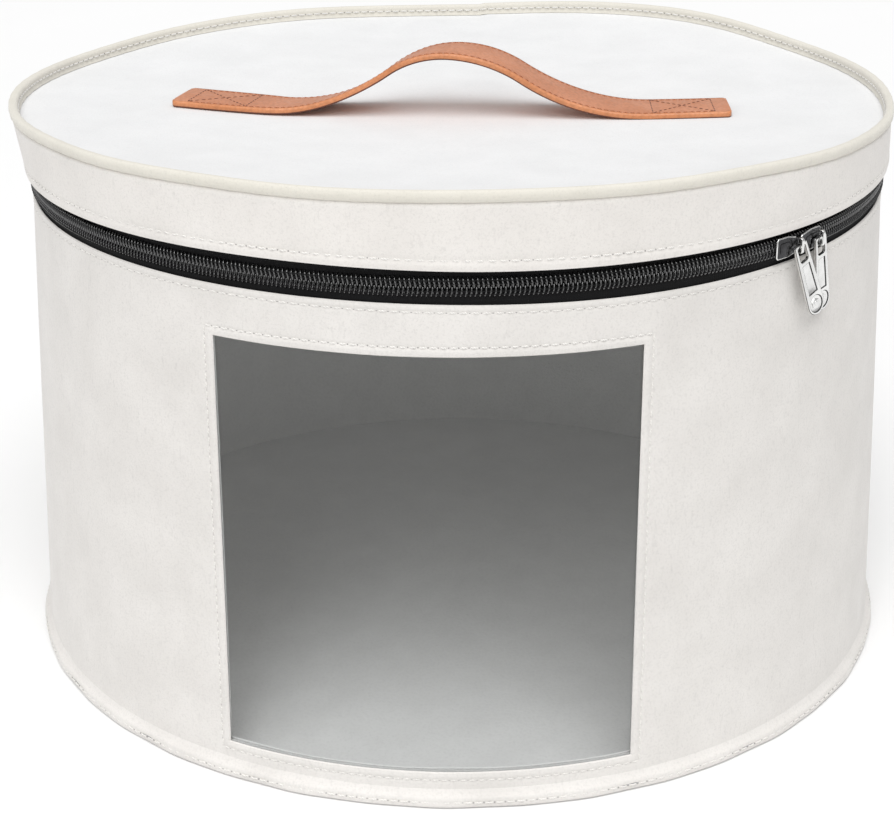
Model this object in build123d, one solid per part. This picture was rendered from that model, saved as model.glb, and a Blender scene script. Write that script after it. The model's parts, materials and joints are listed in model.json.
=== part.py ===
"""Round soft-sided hat box with a zipped lid, a see-through front window and a leather strap handle.

Millimetres, +Z up. The origin is the centre of the underside. The window faces -Y, and a bearing is an
angle about +Z counted from -Y towards +X. The lid hinges on the fabric left between the two zip ends,
at the back, +Y. One STEP file per piece goes to parts/.
"""

from build123d import *
from math import atan2, cos, degrees, sin
import os

# --- overall shape -------------------------------------------------------------------------------
base_radius = 220.8          # outside of the wall cover at the floor
hem_radius = 210.8           # outside of the wall cover at its upper hem
hem_height = 235.1
zip_gap_height = 14.0        # bare zipper between the wall's hem and the lid's band
band_height = 27.0           # lid band, from its lower hem to the top of its rim seam
band_step = 2.6              # how far the band stands outside the wall's hem
band_flare = 2.0             # how much wider the band is at its top than at its hem
rim_recess = 6.0             # lid surface below the top of the rim seam

# --- sheet thicknesses ---------------------------------------------------------------------------
felt = 1.2                   # outer cover cloth
wall_board = 2.0             # stiffener sheet in the wall and the band
flat_board = 2.4             # stiffener disc in the base and the lid
lining = 0.8
binding = 0.5                # folded edge tape
pane = 0.5                   # clear window sheet
ply_gap = 0.1                # glue line or air between stacked sheets
hoop_wire_radius = 1.2

# --- base seam -----------------------------------------------------------------------------------
base_seam_reach = 3.5        # how far the base seam stands outside the wall cover
base_seam_height = 5.6
base_seam_lift = 0.4         # seam tape held clear of the floor

# --- window --------------------------------------------------------------------------------------
window_half_width = 92.0
window_sill = 16.5
window_head = 212.5
pane_overlap = 10.0          # pane hidden behind the cover on each side
seam_tape_inset = 1.5        # inner seam tape, back from the window's edge
window_clearance = 0.5

# --- zipper --------------------------------------------------------------------------------------
tape_height = 15.4           # one side of the zipper, from its sewn edge to its teeth
tape_thickness = 0.6
coil_height = 3.8
coil_depth = 2.0
chain_gap = 1.2              # between the two coils, where the sliders' posts run
zip_end_bearing = 156.0      # the zipper runs from minus this to plus this
stop_length = 3.0
hinge_gap = 0.6              # between the two halves of the fabric hinge

# --- sliders and pulls ---------------------------------------------------------------------------
sliders_meet_bearing = 48.0
slider_nose_gap = 1.7
slider_length = 14.6
slider_height = 9.6
slider_nose_height = 7.0
slider_plate = 1.2
slider_clearance = 0.6       # plates to the coil in front and to the tape behind
post_length = 2.2
post_clearance = 0.3
bridge_opening_height = 5.2
bridge_rise = 2.9            # free depth under the bridge
bridge_bar = 1.0
bridge_width = 1.6
left_bridge_offset = 5.6     # along the zipper from the slider's centre
right_bridge_offset = 4.6
pull_length = 36.0
pull_top_width = 8.0
pull_end_width = 10.4
pull_thickness = 1.4
pull_slot_width = 5.2
pull_slot_length = 7.2
pull_recess_depth = 0.4
pull_back_clearance = 0.8    # behind the right pull, which lies nearer the slider
pull_bridge_clearance = 0.3  # in front of the left pull, which lies across the right one
pull_wall_clearance = 1.0    # between the right pull's foot and the wall
right_pull_lean = 10.0       # sideways, feet towards +bearing
left_pull_lean = 20.0
pull_crossing_depth = 15.0   # below the bars, where the left pull starts to cross the right one
pull_crossing_gap = 0.3

# --- handle --------------------------------------------------------------------------------------
handle_length = 274.0
handle_width = 30.0
handle_thickness = 3.0
handle_rise = 23.0           # of the free span above the stitched tabs
handle_span = 170.0          # between the two stitched tabs' inner ends
handle_crown_radius = 60.0
handle_offset = -9.0         # the strap sits in front of the lid's middle
handle_shift = -2.0          # and a little to its left
handle_end_radius = 2.0
backing_margin = 4.0
backing_length = 44.0

# --- levels and radii that follow ----------------------------------------------------------------
band_hem = hem_height + zip_gap_height
rim_top = band_hem + band_height
lid_surface = rim_top - rim_recess
lid_underside = lid_surface - felt - ply_gap - flat_board - ply_gap - lining
chain_centre = (hem_height + band_hem) / 2
lower_coil_top = chain_centre - chain_gap / 2
upper_coil_base = chain_centre + chain_gap / 2
stiffener_depth = felt + ply_gap
lining_depth = stiffener_depth + wall_board + ply_gap
wall_depth = lining_depth + lining
tape_depth = felt + ply_gap
wall_stiffener_top = lower_coil_top - tape_height - window_clearance
band_stiffener_foot = upper_coil_base + tape_height + window_clearance


def wall_radius(height):
    """Outside of the wall cover at a height, which leans in evenly from the floor to the hem."""
    return base_radius + (hem_radius - base_radius) * height / hem_height


def band_radius(height):
    """Outside of the lid's band cover at a height."""
    low = hem_radius + band_step
    return low + band_flare * (height - band_hem) / band_height


tape_radius = wall_radius(chain_centre - slider_height / 2) - tape_depth    # outside of the tapes
coil_radius = tape_radius + ply_gap + coil_depth    # outside of the coils
plate_radius = coil_radius + slider_clearance       # inner face of the sliders' outer plates
slider_half_angle = degrees((slider_length + slider_nose_gap) / 2 / plate_radius)
left_slider_bearing = sliders_meet_bearing - slider_half_angle
right_slider_bearing = sliders_meet_bearing + slider_half_angle
right_pull_pivot = pull_back_clearance + pull_thickness / 2    # bar above the slider's outer plate
left_pull_pivot = bridge_rise - pull_bridge_clearance - pull_thickness / 2
pull_back_radius = plate_radius + slider_plate + pull_back_clearance
wall_push = wall_radius(chain_centre - pull_length) + pull_wall_clearance - pull_back_radius
right_pull_lift = degrees(atan2(max(0, wall_push), pull_length))    # plumb, unless the wall is in its way
left_pull_lift = right_pull_lift + degrees(
    atan2(pull_thickness + pull_crossing_gap + right_pull_pivot - left_pull_pivot, pull_crossing_depth)
)


def turned(*profile, arc=360.0, start_bearing=0.0):
    """A solid of revolution about +Z from (radius, height) corners, from a bearing onwards."""
    face = make_face(Plane.XZ * Polyline(*profile, close=True))
    return Rot(0, 0, start_bearing - 90) * revolve(face, Axis.Z, arc)


def disc(radius, bottom, thickness):
    return Pos(0, 0, bottom) * extrude(Circle(radius), thickness)


def shell(radius_at, depth, thickness, bottom, top, **sector):
    """A sheet that lies a depth inside the surface radius_at, between two heights."""
    low = radius_at(bottom) - depth
    high = radius_at(top) - depth
    return turned(
        (low - thickness, bottom), (low, bottom), (high, top), (high - thickness, top), **sector
    )


def window_block(half_width, bottom, top):
    """The block of space in front of the box's middle that a rectangle on the window covers."""
    block = Box(2 * half_width, 2 * base_radius, top - bottom, align=(Align.CENTER, Align.MAX, Align.MIN))
    return Pos(0, 0, bottom) * block


def hoop(radius, height):
    return Pos(0, 0, height) * Torus(radius, hoop_wire_radius)


# --- box body ------------------------------------------------------------------------------------
wall_foot = felt + ply_gap
floor_radius = wall_radius(wall_foot + flat_board + ply_gap + lining) - wall_depth - ply_gap


def base_seam_binding():
    """Tape folded over the base seam, open towards the box, with the hoop in its fold."""
    inner = base_radius + ply_gap
    outer = base_radius + base_seam_reach
    low = base_seam_lift
    high = base_seam_lift + base_seam_height
    return turned(
        (inner, low), (outer, low), (outer, high), (inner, high),
        (inner, high - binding), (outer - binding, high - binding),
        (outer - binding, low + binding), (inner, low + binding),
    )


def wall_layers():
    """Cover, stiffener, lining, window pane and the tape behind the pane's seam."""
    pane_half = window_half_width + pane_overlap
    pane_low = window_sill - pane_overlap
    pane_high = window_head + pane_overlap
    window = window_block(window_half_width, window_sill, window_head)
    pane_area = window_block(pane_half, pane_low, pane_high)
    pane_pocket = window_block(
        pane_half + window_clearance, pane_low - window_clearance, pane_high + window_clearance
    )
    tape_opening = window_block(
        window_half_width + seam_tape_inset, window_sill - seam_tape_inset, window_head + seam_tape_inset
    )
    tape_depth_in_wall = stiffener_depth + pane + ply_gap
    tape_in_wall = wall_board - pane - ply_gap
    return {
        "wall_cover": shell(wall_radius, 0, felt, wall_foot, hem_height) - window,
        "wall_stiffener": shell(wall_radius, stiffener_depth, wall_board, wall_foot, wall_stiffener_top)
        - pane_pocket,
        "wall_lining": shell(wall_radius, lining_depth, lining, wall_foot, hem_height - lining) - window,
        "window_pane": shell(wall_radius, stiffener_depth, pane, wall_foot, hem_height) & pane_area,
        "window_seam_tape": (
            shell(wall_radius, tape_depth_in_wall, tape_in_wall, wall_foot, hem_height) & pane_area
        )
        - tape_opening,
    }


def base_layers():
    board_level = wall_foot
    lining_level = board_level + flat_board + ply_gap
    hoop_radius = base_radius + ply_gap + hoop_wire_radius
    return {
        "base_cover": disc(base_radius, 0, felt),
        "base_board": disc(floor_radius, board_level, flat_board),
        "base_lining": disc(floor_radius, lining_level, lining),
        "base_seam_binding": base_seam_binding(),
        "base_hoop": hoop(hoop_radius, base_seam_lift + base_seam_height / 2),
    }


# --- lid -----------------------------------------------------------------------------------------
rim_seam_foot = lid_surface + ply_gap
lid_board_radius = band_radius(band_hem) - wall_depth


def lid_top_cover():
    """Lid disc with its edge turned up beside the band, where the two are sewn together."""
    edge = band_radius(lid_surface - felt) - felt - ply_gap
    seam_top = rim_top - binding - ply_gap
    low = lid_surface - felt
    return turned(
        (0, low), (edge, low), (edge, seam_top), (edge - felt, seam_top), (edge - felt, lid_surface),
        (0, lid_surface),
    )


def lid_rim_binding():
    """Tape folded over the upstanding rim seam."""
    outer = band_radius(rim_top) + ply_gap + binding
    inner = band_radius(lid_surface - felt) - 2 * felt - 2 * ply_gap - binding
    return turned(
        (outer - binding, rim_seam_foot), (outer, rim_seam_foot), (outer, rim_top), (inner, rim_top),
        (inner, rim_seam_foot), (inner + binding, rim_seam_foot),
        (inner + binding, rim_top - binding), (outer - binding, rim_top - binding),
    )


def lid_layers():
    cover_underside = lid_surface - felt
    board_level = cover_underside - ply_gap - flat_board
    band_cover_top = rim_top - binding - ply_gap
    hoop_radius = lid_board_radius - lining - ply_gap - hoop_wire_radius
    return {
        "lid_top_cover": lid_top_cover(),
        "lid_board": disc(lid_board_radius, board_level, flat_board),
        "lid_lining": disc(lid_board_radius, lid_underside, lining),
        "lid_band_cover": shell(band_radius, 0, felt, band_hem, band_cover_top),
        "lid_band_stiffener": shell(
            band_radius, stiffener_depth, wall_board, band_stiffener_foot, cover_underside - ply_gap
        ),
        "lid_band_lining": shell(
            band_radius, lining_depth, lining, band_hem + lining, lid_underside - ply_gap
        ),
        "lid_rim_binding": lid_rim_binding(),
        "lid_hoop": hoop(hoop_radius, lid_underside - ply_gap - hoop_wire_radius),
    }


# --- zipper --------------------------------------------------------------------------------------
def strip(face, half_arc, middle_bearing):
    """A woven strip as thick as the tape behind the (radius, height) corners of its face."""
    back = [(radius - tape_thickness, height) for radius, height in reversed(face)]
    return turned(*face, *back, arc=2 * half_arc, start_bearing=middle_bearing - half_arc)


def lower_tape(top, half_arc, middle_bearing):
    """Strip behind the wall's hem that carries the box side of the zipper or the hinge.

    It lies against the leaning wall and stands upright from the sliders' lower edge to its top.
    """
    foot = top - tape_height
    knee = chain_centre - slider_height / 2
    face = [
        (wall_radius(foot) - tape_depth, foot),
        (tape_radius, knee),
        (tape_radius, top),
    ]
    return strip(face, half_arc, middle_bearing)


def upper_tape(bottom, half_arc, middle_bearing):
    """Strip that rises upright past the coil, steps out and runs up behind the band's hem."""
    knee = bottom + coil_height + ply_gap
    top = bottom + tape_height
    step = (knee + band_hem) / 2 + coil_height / 2
    face = [
        (tape_radius, bottom),
        (tape_radius, knee),
        (band_radius(step) - tape_depth, step),
        (band_radius(top) - tape_depth, top),
    ]
    return strip(face, half_arc, middle_bearing)


def coil(bottom):
    low = tape_radius + ply_gap
    high = low + coil_depth
    return turned(
        (low, bottom), (high, bottom), (high, bottom + coil_height), (low, bottom + coil_height),
        arc=2 * zip_end_bearing, start_bearing=-zip_end_bearing,
    )


def end_stop(side):
    """Metal crimp on the box side of the zipper's end, past the last tooth."""
    angle = degrees(stop_length / coil_radius)
    gap = degrees(ply_gap / coil_radius)
    start = zip_end_bearing + gap if side > 0 else -zip_end_bearing - gap - angle
    low = tape_radius + ply_gap
    bottom = lower_coil_top - coil_height
    return turned(
        (low, bottom), (coil_radius, bottom), (coil_radius, lower_coil_top), (low, lower_coil_top),
        arc=angle, start_bearing=start,
    )


def zipper_and_hinge():
    tape_arc = zip_end_bearing + 2 * degrees(stop_length / coil_radius)
    hinge_arc = 180 - tape_arc - window_clearance
    return {
        "lower_zip_tape": lower_tape(lower_coil_top, tape_arc, 0),
        "lower_zip_coil": coil(lower_coil_top - coil_height),
        "zip_stop_left": end_stop(-1),
        "zip_stop_right": end_stop(1),
        "lower_hinge_strip": lower_tape(chain_centre - hinge_gap / 2, hinge_arc, 180),
        "upper_zip_tape": upper_tape(upper_coil_base, tape_arc, 0),
        "upper_zip_coil": coil(upper_coil_base),
        "upper_hinge_strip": upper_tape(chain_centre + hinge_gap / 2, hinge_arc, 180),
    }


# --- sliders and pulls ---------------------------------------------------------------------------
def on_zipper(piece, bearing):
    """Moves a piece drawn with +X along the zipper and -Y outwards to its bearing on the chain."""
    return Rot(0, 0, bearing) * Pos(0, -plate_radius, chain_centre) * piece


def standing(sketch, depth):
    """A sketch drawn on the upright plane, as thick as depth, with its back on y = 0."""
    return extrude(Plane.XZ * sketch, depth)


def slider_body(facing):
    """Two plates joined by a post that runs between the coils, with a lip under the lower coil.

    The outer plate's back is on y = 0 and the noses face each other: facing is +1 or -1.
    """
    half = slider_length / 2
    tall = slider_height / 2
    nose = slider_nose_height / 2
    outline = make_face(
        Polyline(
            (-half * facing, -tall), (0, -tall), (half * facing, -nose), (half * facing, nose),
            (0, tall), (-half * facing, tall), close=True,
        )
    )
    inner_face = plate_radius - tape_radius + tape_thickness + slider_clearance
    outer_plate = standing(outline, slider_plate)
    inner_plate = Pos(0, inner_face + slider_plate, 0) * standing(outline, slider_plate)
    post_height = chain_gap - 2 * post_clearance
    post = Pos((post_length / 2 - half + 1) * facing, 0, 0) * Box(
        post_length, inner_face, post_height, align=(Align.CENTER, Align.MIN, Align.CENTER)
    )
    lip_thickness = tall - chain_gap / 2 - coil_height - post_clearance
    lip = Pos(-half / 2 * facing, 0, -tall) * Box(
        half, coil_depth, lip_thickness, align=(Align.CENTER, Align.MIN, Align.MIN)
    )
    return outer_plate + inner_plate + post + lip


def slider_bridge(offset):
    """Staple on the outer plate that the pull's bar passes through."""
    height = bridge_opening_height + 2 * bridge_bar
    outwards = (Align.CENTER, Align.MAX, Align.CENTER)
    frame = Box(bridge_width, bridge_rise + bridge_bar, height, align=outwards)
    opening = Box(bridge_width, bridge_rise, bridge_opening_height, align=outwards)
    return Pos(offset, -slider_plate, 0) * (frame - opening)


def pull_tab():
    """Flat tab that widens to a round end, with a slot for the bridge and a recess on its face.

    It hangs from the origin, the middle of its bar, and its face looks along -Y.
    """
    bar_radius = pull_thickness / 2
    end_radius = pull_end_width / 2
    straight = pull_length - end_radius - bar_radius
    body = make_face(
        Polyline(
            (-pull_top_width / 2, bar_radius), (pull_top_width / 2, bar_radius),
            (pull_end_width / 2, -straight), (-pull_end_width / 2, -straight), close=True,
        )
    )
    outline = body + Pos(0, -straight) * Circle(end_radius)
    slot = Pos(0, -bar_radius - pull_slot_length / 2) * Rectangle(pull_slot_width, pull_slot_length)
    tab = Pos(0, pull_thickness / 2, 0) * standing(outline - slot, pull_thickness)
    recess_top = pull_slot_length + 5 * bar_radius
    recess = make_face(
        Polyline(
            (-pull_top_width / 4, -recess_top), (pull_top_width / 4, -recess_top),
            (pull_end_width / 4, -straight + bar_radius), (-pull_end_width / 4, -straight + bar_radius),
            close=True,
        )
    )
    recess_block = Pos(0, pull_recess_depth - pull_thickness / 2, 0) * standing(recess, pull_thickness)
    return tab - recess_block


def placed_pull(offset, pivot, lean, lift, bearing):
    hung = Rot(0, -lean, 0) * Rot(-lift, 0, 0) * pull_tab()
    return on_zipper(Pos(offset, -slider_plate - pivot, 0) * hung, bearing)


def sliders_and_pulls():
    return {
        "slider_left": on_zipper(slider_body(1), left_slider_bearing),
        "slider_left_bridge": on_zipper(slider_bridge(left_bridge_offset), left_slider_bearing),
        "slider_right": on_zipper(slider_body(-1), right_slider_bearing),
        "slider_right_bridge": on_zipper(slider_bridge(right_bridge_offset), right_slider_bearing),
        "pull_left": placed_pull(
            left_bridge_offset, left_pull_pivot, left_pull_lean, left_pull_lift, left_slider_bearing
        ),
        "pull_right": placed_pull(
            right_bridge_offset, right_pull_pivot, right_pull_lean, right_pull_lift, right_slider_bearing
        ),
    }


# --- handle --------------------------------------------------------------------------------------
def strap_line(offset):
    """One face of the strap in its own upright plane, offset outwards from its middle line.

    Flat tabs rise through two tangent arcs on each side to a rounded crown. The crown's radius is given.
    Both arcs turn through the same angle, which the rise and the span set, and the foot arc's radius is
    the one that makes up the span.
    """
    half_span = handle_span / 2
    turn = 2 * atan2(handle_rise, half_span)
    foot_radius = half_span / sin(turn) - handle_crown_radius - offset
    crown_radius = handle_crown_radius + offset
    crown_top = handle_rise + offset
    edge_x = crown_radius * sin(turn)
    edge_z = crown_top - crown_radius * (1 - cos(turn))
    middle_x = half_span - foot_radius * sin(turn / 2)
    middle_z = offset + foot_radius * (1 - cos(turn / 2))
    tab_end = handle_length / 2
    return [
        Line((-tab_end, offset), (-half_span, offset)),
        ThreePointArc((-half_span, offset), (-middle_x, middle_z), (-edge_x, edge_z)),
        ThreePointArc((-edge_x, edge_z), (0, crown_top), (edge_x, edge_z)),
        ThreePointArc((edge_x, edge_z), (middle_x, middle_z), (half_span, offset)),
        Line((half_span, offset), (tab_end, offset)),
    ]


def handle_strap():
    half_thickness = handle_thickness / 2
    tab_end = handle_length / 2
    ends = [
        Line((side * tab_end, -half_thickness), (side * tab_end, half_thickness)) for side in (-1, 1)
    ]
    section = make_face(strap_line(half_thickness) + strap_line(-half_thickness) + ends)
    strap = Pos(0, handle_width / 2, 0) * standing(section, handle_width)
    corners = strap.edges().filter_by(Axis.Z).sort_by(Axis.X)
    strap = fillet(corners[:2] + corners[-2:], handle_end_radius)
    return Pos(handle_shift, handle_offset, lid_surface + ply_gap + half_thickness) * strap


def handle_backing():
    """A patch under each stitched tab, on the lid's lining."""
    patch_level = lid_underside - ply_gap - lining
    reach = (handle_length - backing_length) / 2
    patch = extrude(Rectangle(backing_length, handle_width + 2 * backing_margin), lining)
    patches = [Pos(side * reach, 0, 0) * patch for side in (-1, 1)]
    return Pos(handle_shift, handle_offset, patch_level) * Compound(patches)


def handle_pieces():
    return {"handle_strap": handle_strap(), "handle_backing": handle_backing()}


pieces = (
    base_layers() | wall_layers() | lid_layers() | zipper_and_hinge() | sliders_and_pulls()
    | handle_pieces()
)
os.makedirs("parts", exist_ok=True)
for name, piece in pieces.items():
    export_step(piece, f"parts/{name}.step")
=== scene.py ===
"""Visual model of a round felt hat box with a zipped lid, a clear window and a leather strap handle.

Metres, +Z up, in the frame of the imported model: the window faces -Y, the fabric hinge is at +Y, and a
bearing is an angle about +Z counted from -Y towards +X. Sizes come from the frame's nodes; the values
named below are only what the frame doesn't hold, such as stitches, threads and how soft cloth gives.
"""

import json
from math import asin, atan2, cos, pi, radians, sin

import bmesh
import bpy
import numpy as np
from mathutils import Matrix, Vector

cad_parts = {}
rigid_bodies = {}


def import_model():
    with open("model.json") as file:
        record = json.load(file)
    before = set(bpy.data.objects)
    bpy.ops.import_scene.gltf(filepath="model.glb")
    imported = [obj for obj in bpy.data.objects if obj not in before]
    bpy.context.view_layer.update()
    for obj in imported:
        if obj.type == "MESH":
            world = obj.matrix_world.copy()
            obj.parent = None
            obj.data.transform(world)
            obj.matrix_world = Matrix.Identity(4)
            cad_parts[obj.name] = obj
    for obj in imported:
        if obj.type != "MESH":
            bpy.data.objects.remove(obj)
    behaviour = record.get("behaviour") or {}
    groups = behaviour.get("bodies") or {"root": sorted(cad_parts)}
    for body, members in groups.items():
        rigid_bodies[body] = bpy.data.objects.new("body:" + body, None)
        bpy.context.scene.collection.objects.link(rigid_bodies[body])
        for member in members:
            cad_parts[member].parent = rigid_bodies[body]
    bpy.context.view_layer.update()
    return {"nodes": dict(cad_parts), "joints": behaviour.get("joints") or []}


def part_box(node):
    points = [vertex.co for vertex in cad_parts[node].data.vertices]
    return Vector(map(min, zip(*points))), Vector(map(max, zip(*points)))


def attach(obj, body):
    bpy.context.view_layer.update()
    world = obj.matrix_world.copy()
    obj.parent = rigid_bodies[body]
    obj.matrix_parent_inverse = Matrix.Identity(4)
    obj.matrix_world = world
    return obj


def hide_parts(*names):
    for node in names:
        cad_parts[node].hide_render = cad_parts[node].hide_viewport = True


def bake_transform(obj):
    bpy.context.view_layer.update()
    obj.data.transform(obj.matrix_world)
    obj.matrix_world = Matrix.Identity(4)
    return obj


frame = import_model()

MM = 0.001
FULL = 2 * pi
WAVE_PER_METRE = FULL / 20    # Wave Texture scale for one band in a metre

# --- cloth and thread ----------------------------------------------------------------------------
STITCH_PITCH = 4.8 * MM
STITCH_LENGTH = 3.5 * MM
STITCH_RADIUS = 0.42 * MM
HEM_STITCH_INSET = 3.4 * MM
WINDOW_STITCH_INSET = 3.6 * MM
BASE_STITCH_HEIGHT = 3.2 * MM
SEAM_SINK = 0.35 * MM
SEAM_PUFF = 0.3 * MM
STITCH_LEVEL = 0.05 * MM - SEAM_SINK    # middle of a thread above the cloth's face
PATCH_STITCH_INSET = 2.5 * MM
GLUE_LINE = 0.1 * MM
EDGE_STEP = 0.8 * MM                   # mesh spacing beside a sewn edge
EDGE_REACH = 7 * MM                    # and how far from the edge it goes
LID_DISH = 5.5 * MM

# --- zipper --------------------------------------------------------------------------------------
TOOTH_PITCH = 2.0 * MM
TOOTH_WIRE = 0.42 * MM
TAPE_THICKNESS = 0.6 * MM

# --- handle --------------------------------------------------------------------------------------
STRAP_SPAN = 170 * MM
STRAP_CROWN_RADIUS = 60 * MM
STRAP_THICKNESS = 3 * MM
STRAP_CORNER = 2 * MM
STRAP_STITCH_INSET = 2.4 * MM
STRAP_BOX = (99 * MM, 129 * MM)    # the crossed box of stitches on each tab, from the strap's middle
STRAP_RIGHT_STRETCH = 1.16         # the arch runs out longer on the right, down to the box of stitches

# --- sliders and pulls ---------------------------------------------------------------------------
SLIDER_LENGTH = 14.6 * MM
SLIDER_HEIGHT = 9.6 * MM
SLIDER_NOSE = 7 * MM
SLIDER_PLATE = 1.2 * MM
SLIDER_BACK = 3.9 * MM
SLIDER_CORNER = 1 * MM
BRIDGE_WIDTH = 1.6 * MM
BRIDGE_HEIGHT = 7.2 * MM
BRIDGE_RISE = 3.9 * MM
BRIDGE_BAR = 1 * MM
PULL_LENGTH = 36 * MM
PULL_TOP = 8 * MM
PULL_END = 10.4 * MM
PULL_THICKNESS = 1.4 * MM
PULL_SLOT = 5.2 * MM
PULL_SLOT_LENGTH = 7.2 * MM
METAL_ROUNDING = 0.42 * MM    # bevel at the edges of a slider's plate and of a pull

# --- window --------------------------------------------------------------------------------------
WINDOW_TAPE = 0.8 * MM
PANE_THICKNESS = 0.5 * MM

# --- camera --------------------------------------------------------------------------------------
CAMERA_PLACE = (0.06372, -0.95934, 0.50055)
CAMERA_SWING = radians(4.125)
CAMERA_DIP = radians(22.513)
CAMERA_ROLL = radians(-0.282)
CAMERA_LENS = 78.525


# === Measuring the frame =========================================================================
def node_points(node):
    """The node's vertices at rest, as an array."""
    mesh = frame["nodes"][node].data
    points = np.empty(3 * len(mesh.vertices))
    mesh.vertices.foreach_get("co", points)
    return points.reshape(-1, 3)


def node_edge(node, upper):
    """(outer radius, inner radius, height) of a round node at its upper or lower end."""
    points = node_points(node)
    height = points[:, 2].max() if upper else points[:, 2].min()
    end = points[np.abs(points[:, 2] - height) < 0.05 * MM]
    radius = np.hypot(end[:, 0], end[:, 1])
    return float(radius.max()), float(radius.min()), float(height)


def at(bearing, radius, height):
    """Points from bearings in radians, radii and heights, which may be arrays."""
    bearing, radius, height = np.broadcast_arrays(bearing, radius, height)
    return np.stack([radius * np.sin(bearing), -radius * np.cos(bearing), height], -1)


FOOT_RADIUS, _, FOOT = node_edge("wall_cover", False)
HEM_RADIUS, HEM_INNER, HEM = node_edge("wall_cover", True)
FELT = HEM_RADIUS - HEM_INNER
BAND_FOOT_RADIUS, _, BAND_HEM = node_edge("lid_band_cover", False)
BAND_TOP_RADIUS, _, _ = node_edge("lid_band_cover", True)
RIM_RADIUS, RIM_INNER, RIM_TOP = node_edge("lid_rim_binding", True)
LID_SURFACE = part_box("lid_top_cover")[0][2] + FELT
CHAIN = (HEM + BAND_HEM) / 2
COIL_RADIUS, TAPE_RADIUS, _ = node_edge("lower_zip_coil", True)
WINDOW_LOW, WINDOW_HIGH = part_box("window_pane")
WINDOW_OVERLAP = 10 * MM
WINDOW_HALF = WINDOW_HIGH[0] - WINDOW_OVERLAP
WINDOW_SILL = WINDOW_LOW[2] + WINDOW_OVERLAP
WINDOW_HEAD = WINDOW_HIGH[2] - WINDOW_OVERLAP
SEAM_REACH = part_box("base_seam_binding")[1][0]


def wall_radius(height):
    return FOOT_RADIUS + (HEM_RADIUS - FOOT_RADIUS) * (height - FOOT) / (HEM - FOOT)


# === How the soft box differs from a true circle =================================================
def hump(x, middle, width):
    return np.exp(-(((x - middle) / width) ** 2))


def wall_give(bearing, height):
    """Outward shift of the wall cloth: long shallow ripples that die out at the base and the hem."""
    share = np.clip((height - FOOT) / (HEM - FOOT), 0, 1)
    ripple = (
        0.34 * np.sin(4 * bearing + 0.7 + 1.1 * share)
        + 0.24 * np.sin(9 * bearing + 2.3 - 1.7 * share)
        + 0.14 * np.sin(17 * bearing + 0.4 + 2.6 * share)
        + 0.10 * np.sin(31 * bearing + 5 * share)
    )
    return 0.8 * MM * ripple * np.sin(pi * share) ** 0.7


def in_degrees(bearing):
    """A bearing as degrees from -180 to 180."""
    return np.degrees(np.mod(bearing + pi, FULL) - pi)


def rim_lift(bearing):
    """Upward shift of the lid's rim, which is pushed up along the front and at two places behind."""
    turn = in_degrees(bearing)
    return MM * (
        8.0 * np.exp(-((turn / 66) ** 4))
        + 5.0 * hump(turn, 150, 21)
        + 1.2 * hump(turn, -143, 13)
        - 0.6 * hump(turn, -114, 16)
        + 0.35 * np.sin(5 * bearing + 1.0)
        + 0.25 * np.sin(11 * bearing + 0.3)
    )


def rim_give(bearing):
    """Outward shift of the lid's rim."""
    turn = in_degrees(bearing)
    return MM * (
        4.6 * hump(turn, -92, 34)
        - 1.6 * hump(turn, 90, 40)
        + 0.35 * np.sin(7 * bearing + 0.5)
        + 0.2 * np.sin(16 * bearing)
    )


def band_hem_lift(bearing):
    """Upward shift of the band's hem, which droops over the zipper at the left side."""
    turn = in_degrees(bearing)
    return MM * (1.7 * hump(turn, -18, 22) - 5.2 * hump(turn, -92, 26))


def wall_hem_lift(bearing, height):
    """Upward shift of the wall's top, which sags a little right of the window."""
    share = np.clip((height - 0.8 * HEM) / (0.2 * HEM), 0, 1)
    return -1.4 * MM * share**2 * hump(in_degrees(bearing), 26, 26)


def lid_share(height):
    """0 at the band's hem and 1 from the lid's surface up."""
    return np.clip((height - BAND_HEM) / (LID_SURFACE - BAND_HEM), 0, 1)


def soften_lid(bearing, radius, height):
    """Moves lid points: nothing at the band's hem, all of rim_lift and rim_give at the rim."""
    give = lid_share(height) * np.clip(radius / RIM_RADIUS, 0, 1) ** 4
    return at(bearing, radius + give * rim_give(bearing), height + give * rim_lift(bearing))


def lid_level(bearing, radius):
    """Upward shift of the lid's flat layers: they sag in the middle and follow the rim at the edge."""
    inward = np.clip(radius / RIM_RADIUS, 0, 1)
    return inward**4 * rim_lift(bearing) - LID_DISH * (1 - inward**2)


# === Mesh building ===============================================================================
def weld(mesh):
    """Joins the edges where grids meet and turns every face outward."""
    work = bmesh.new()
    work.from_mesh(mesh)
    bmesh.ops.remove_doubles(work, verts=work.verts, dist=1e-6)
    bmesh.ops.recalc_face_normals(work, faces=work.faces)
    work.to_mesh(mesh)
    work.free()
    mesh.update()


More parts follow.
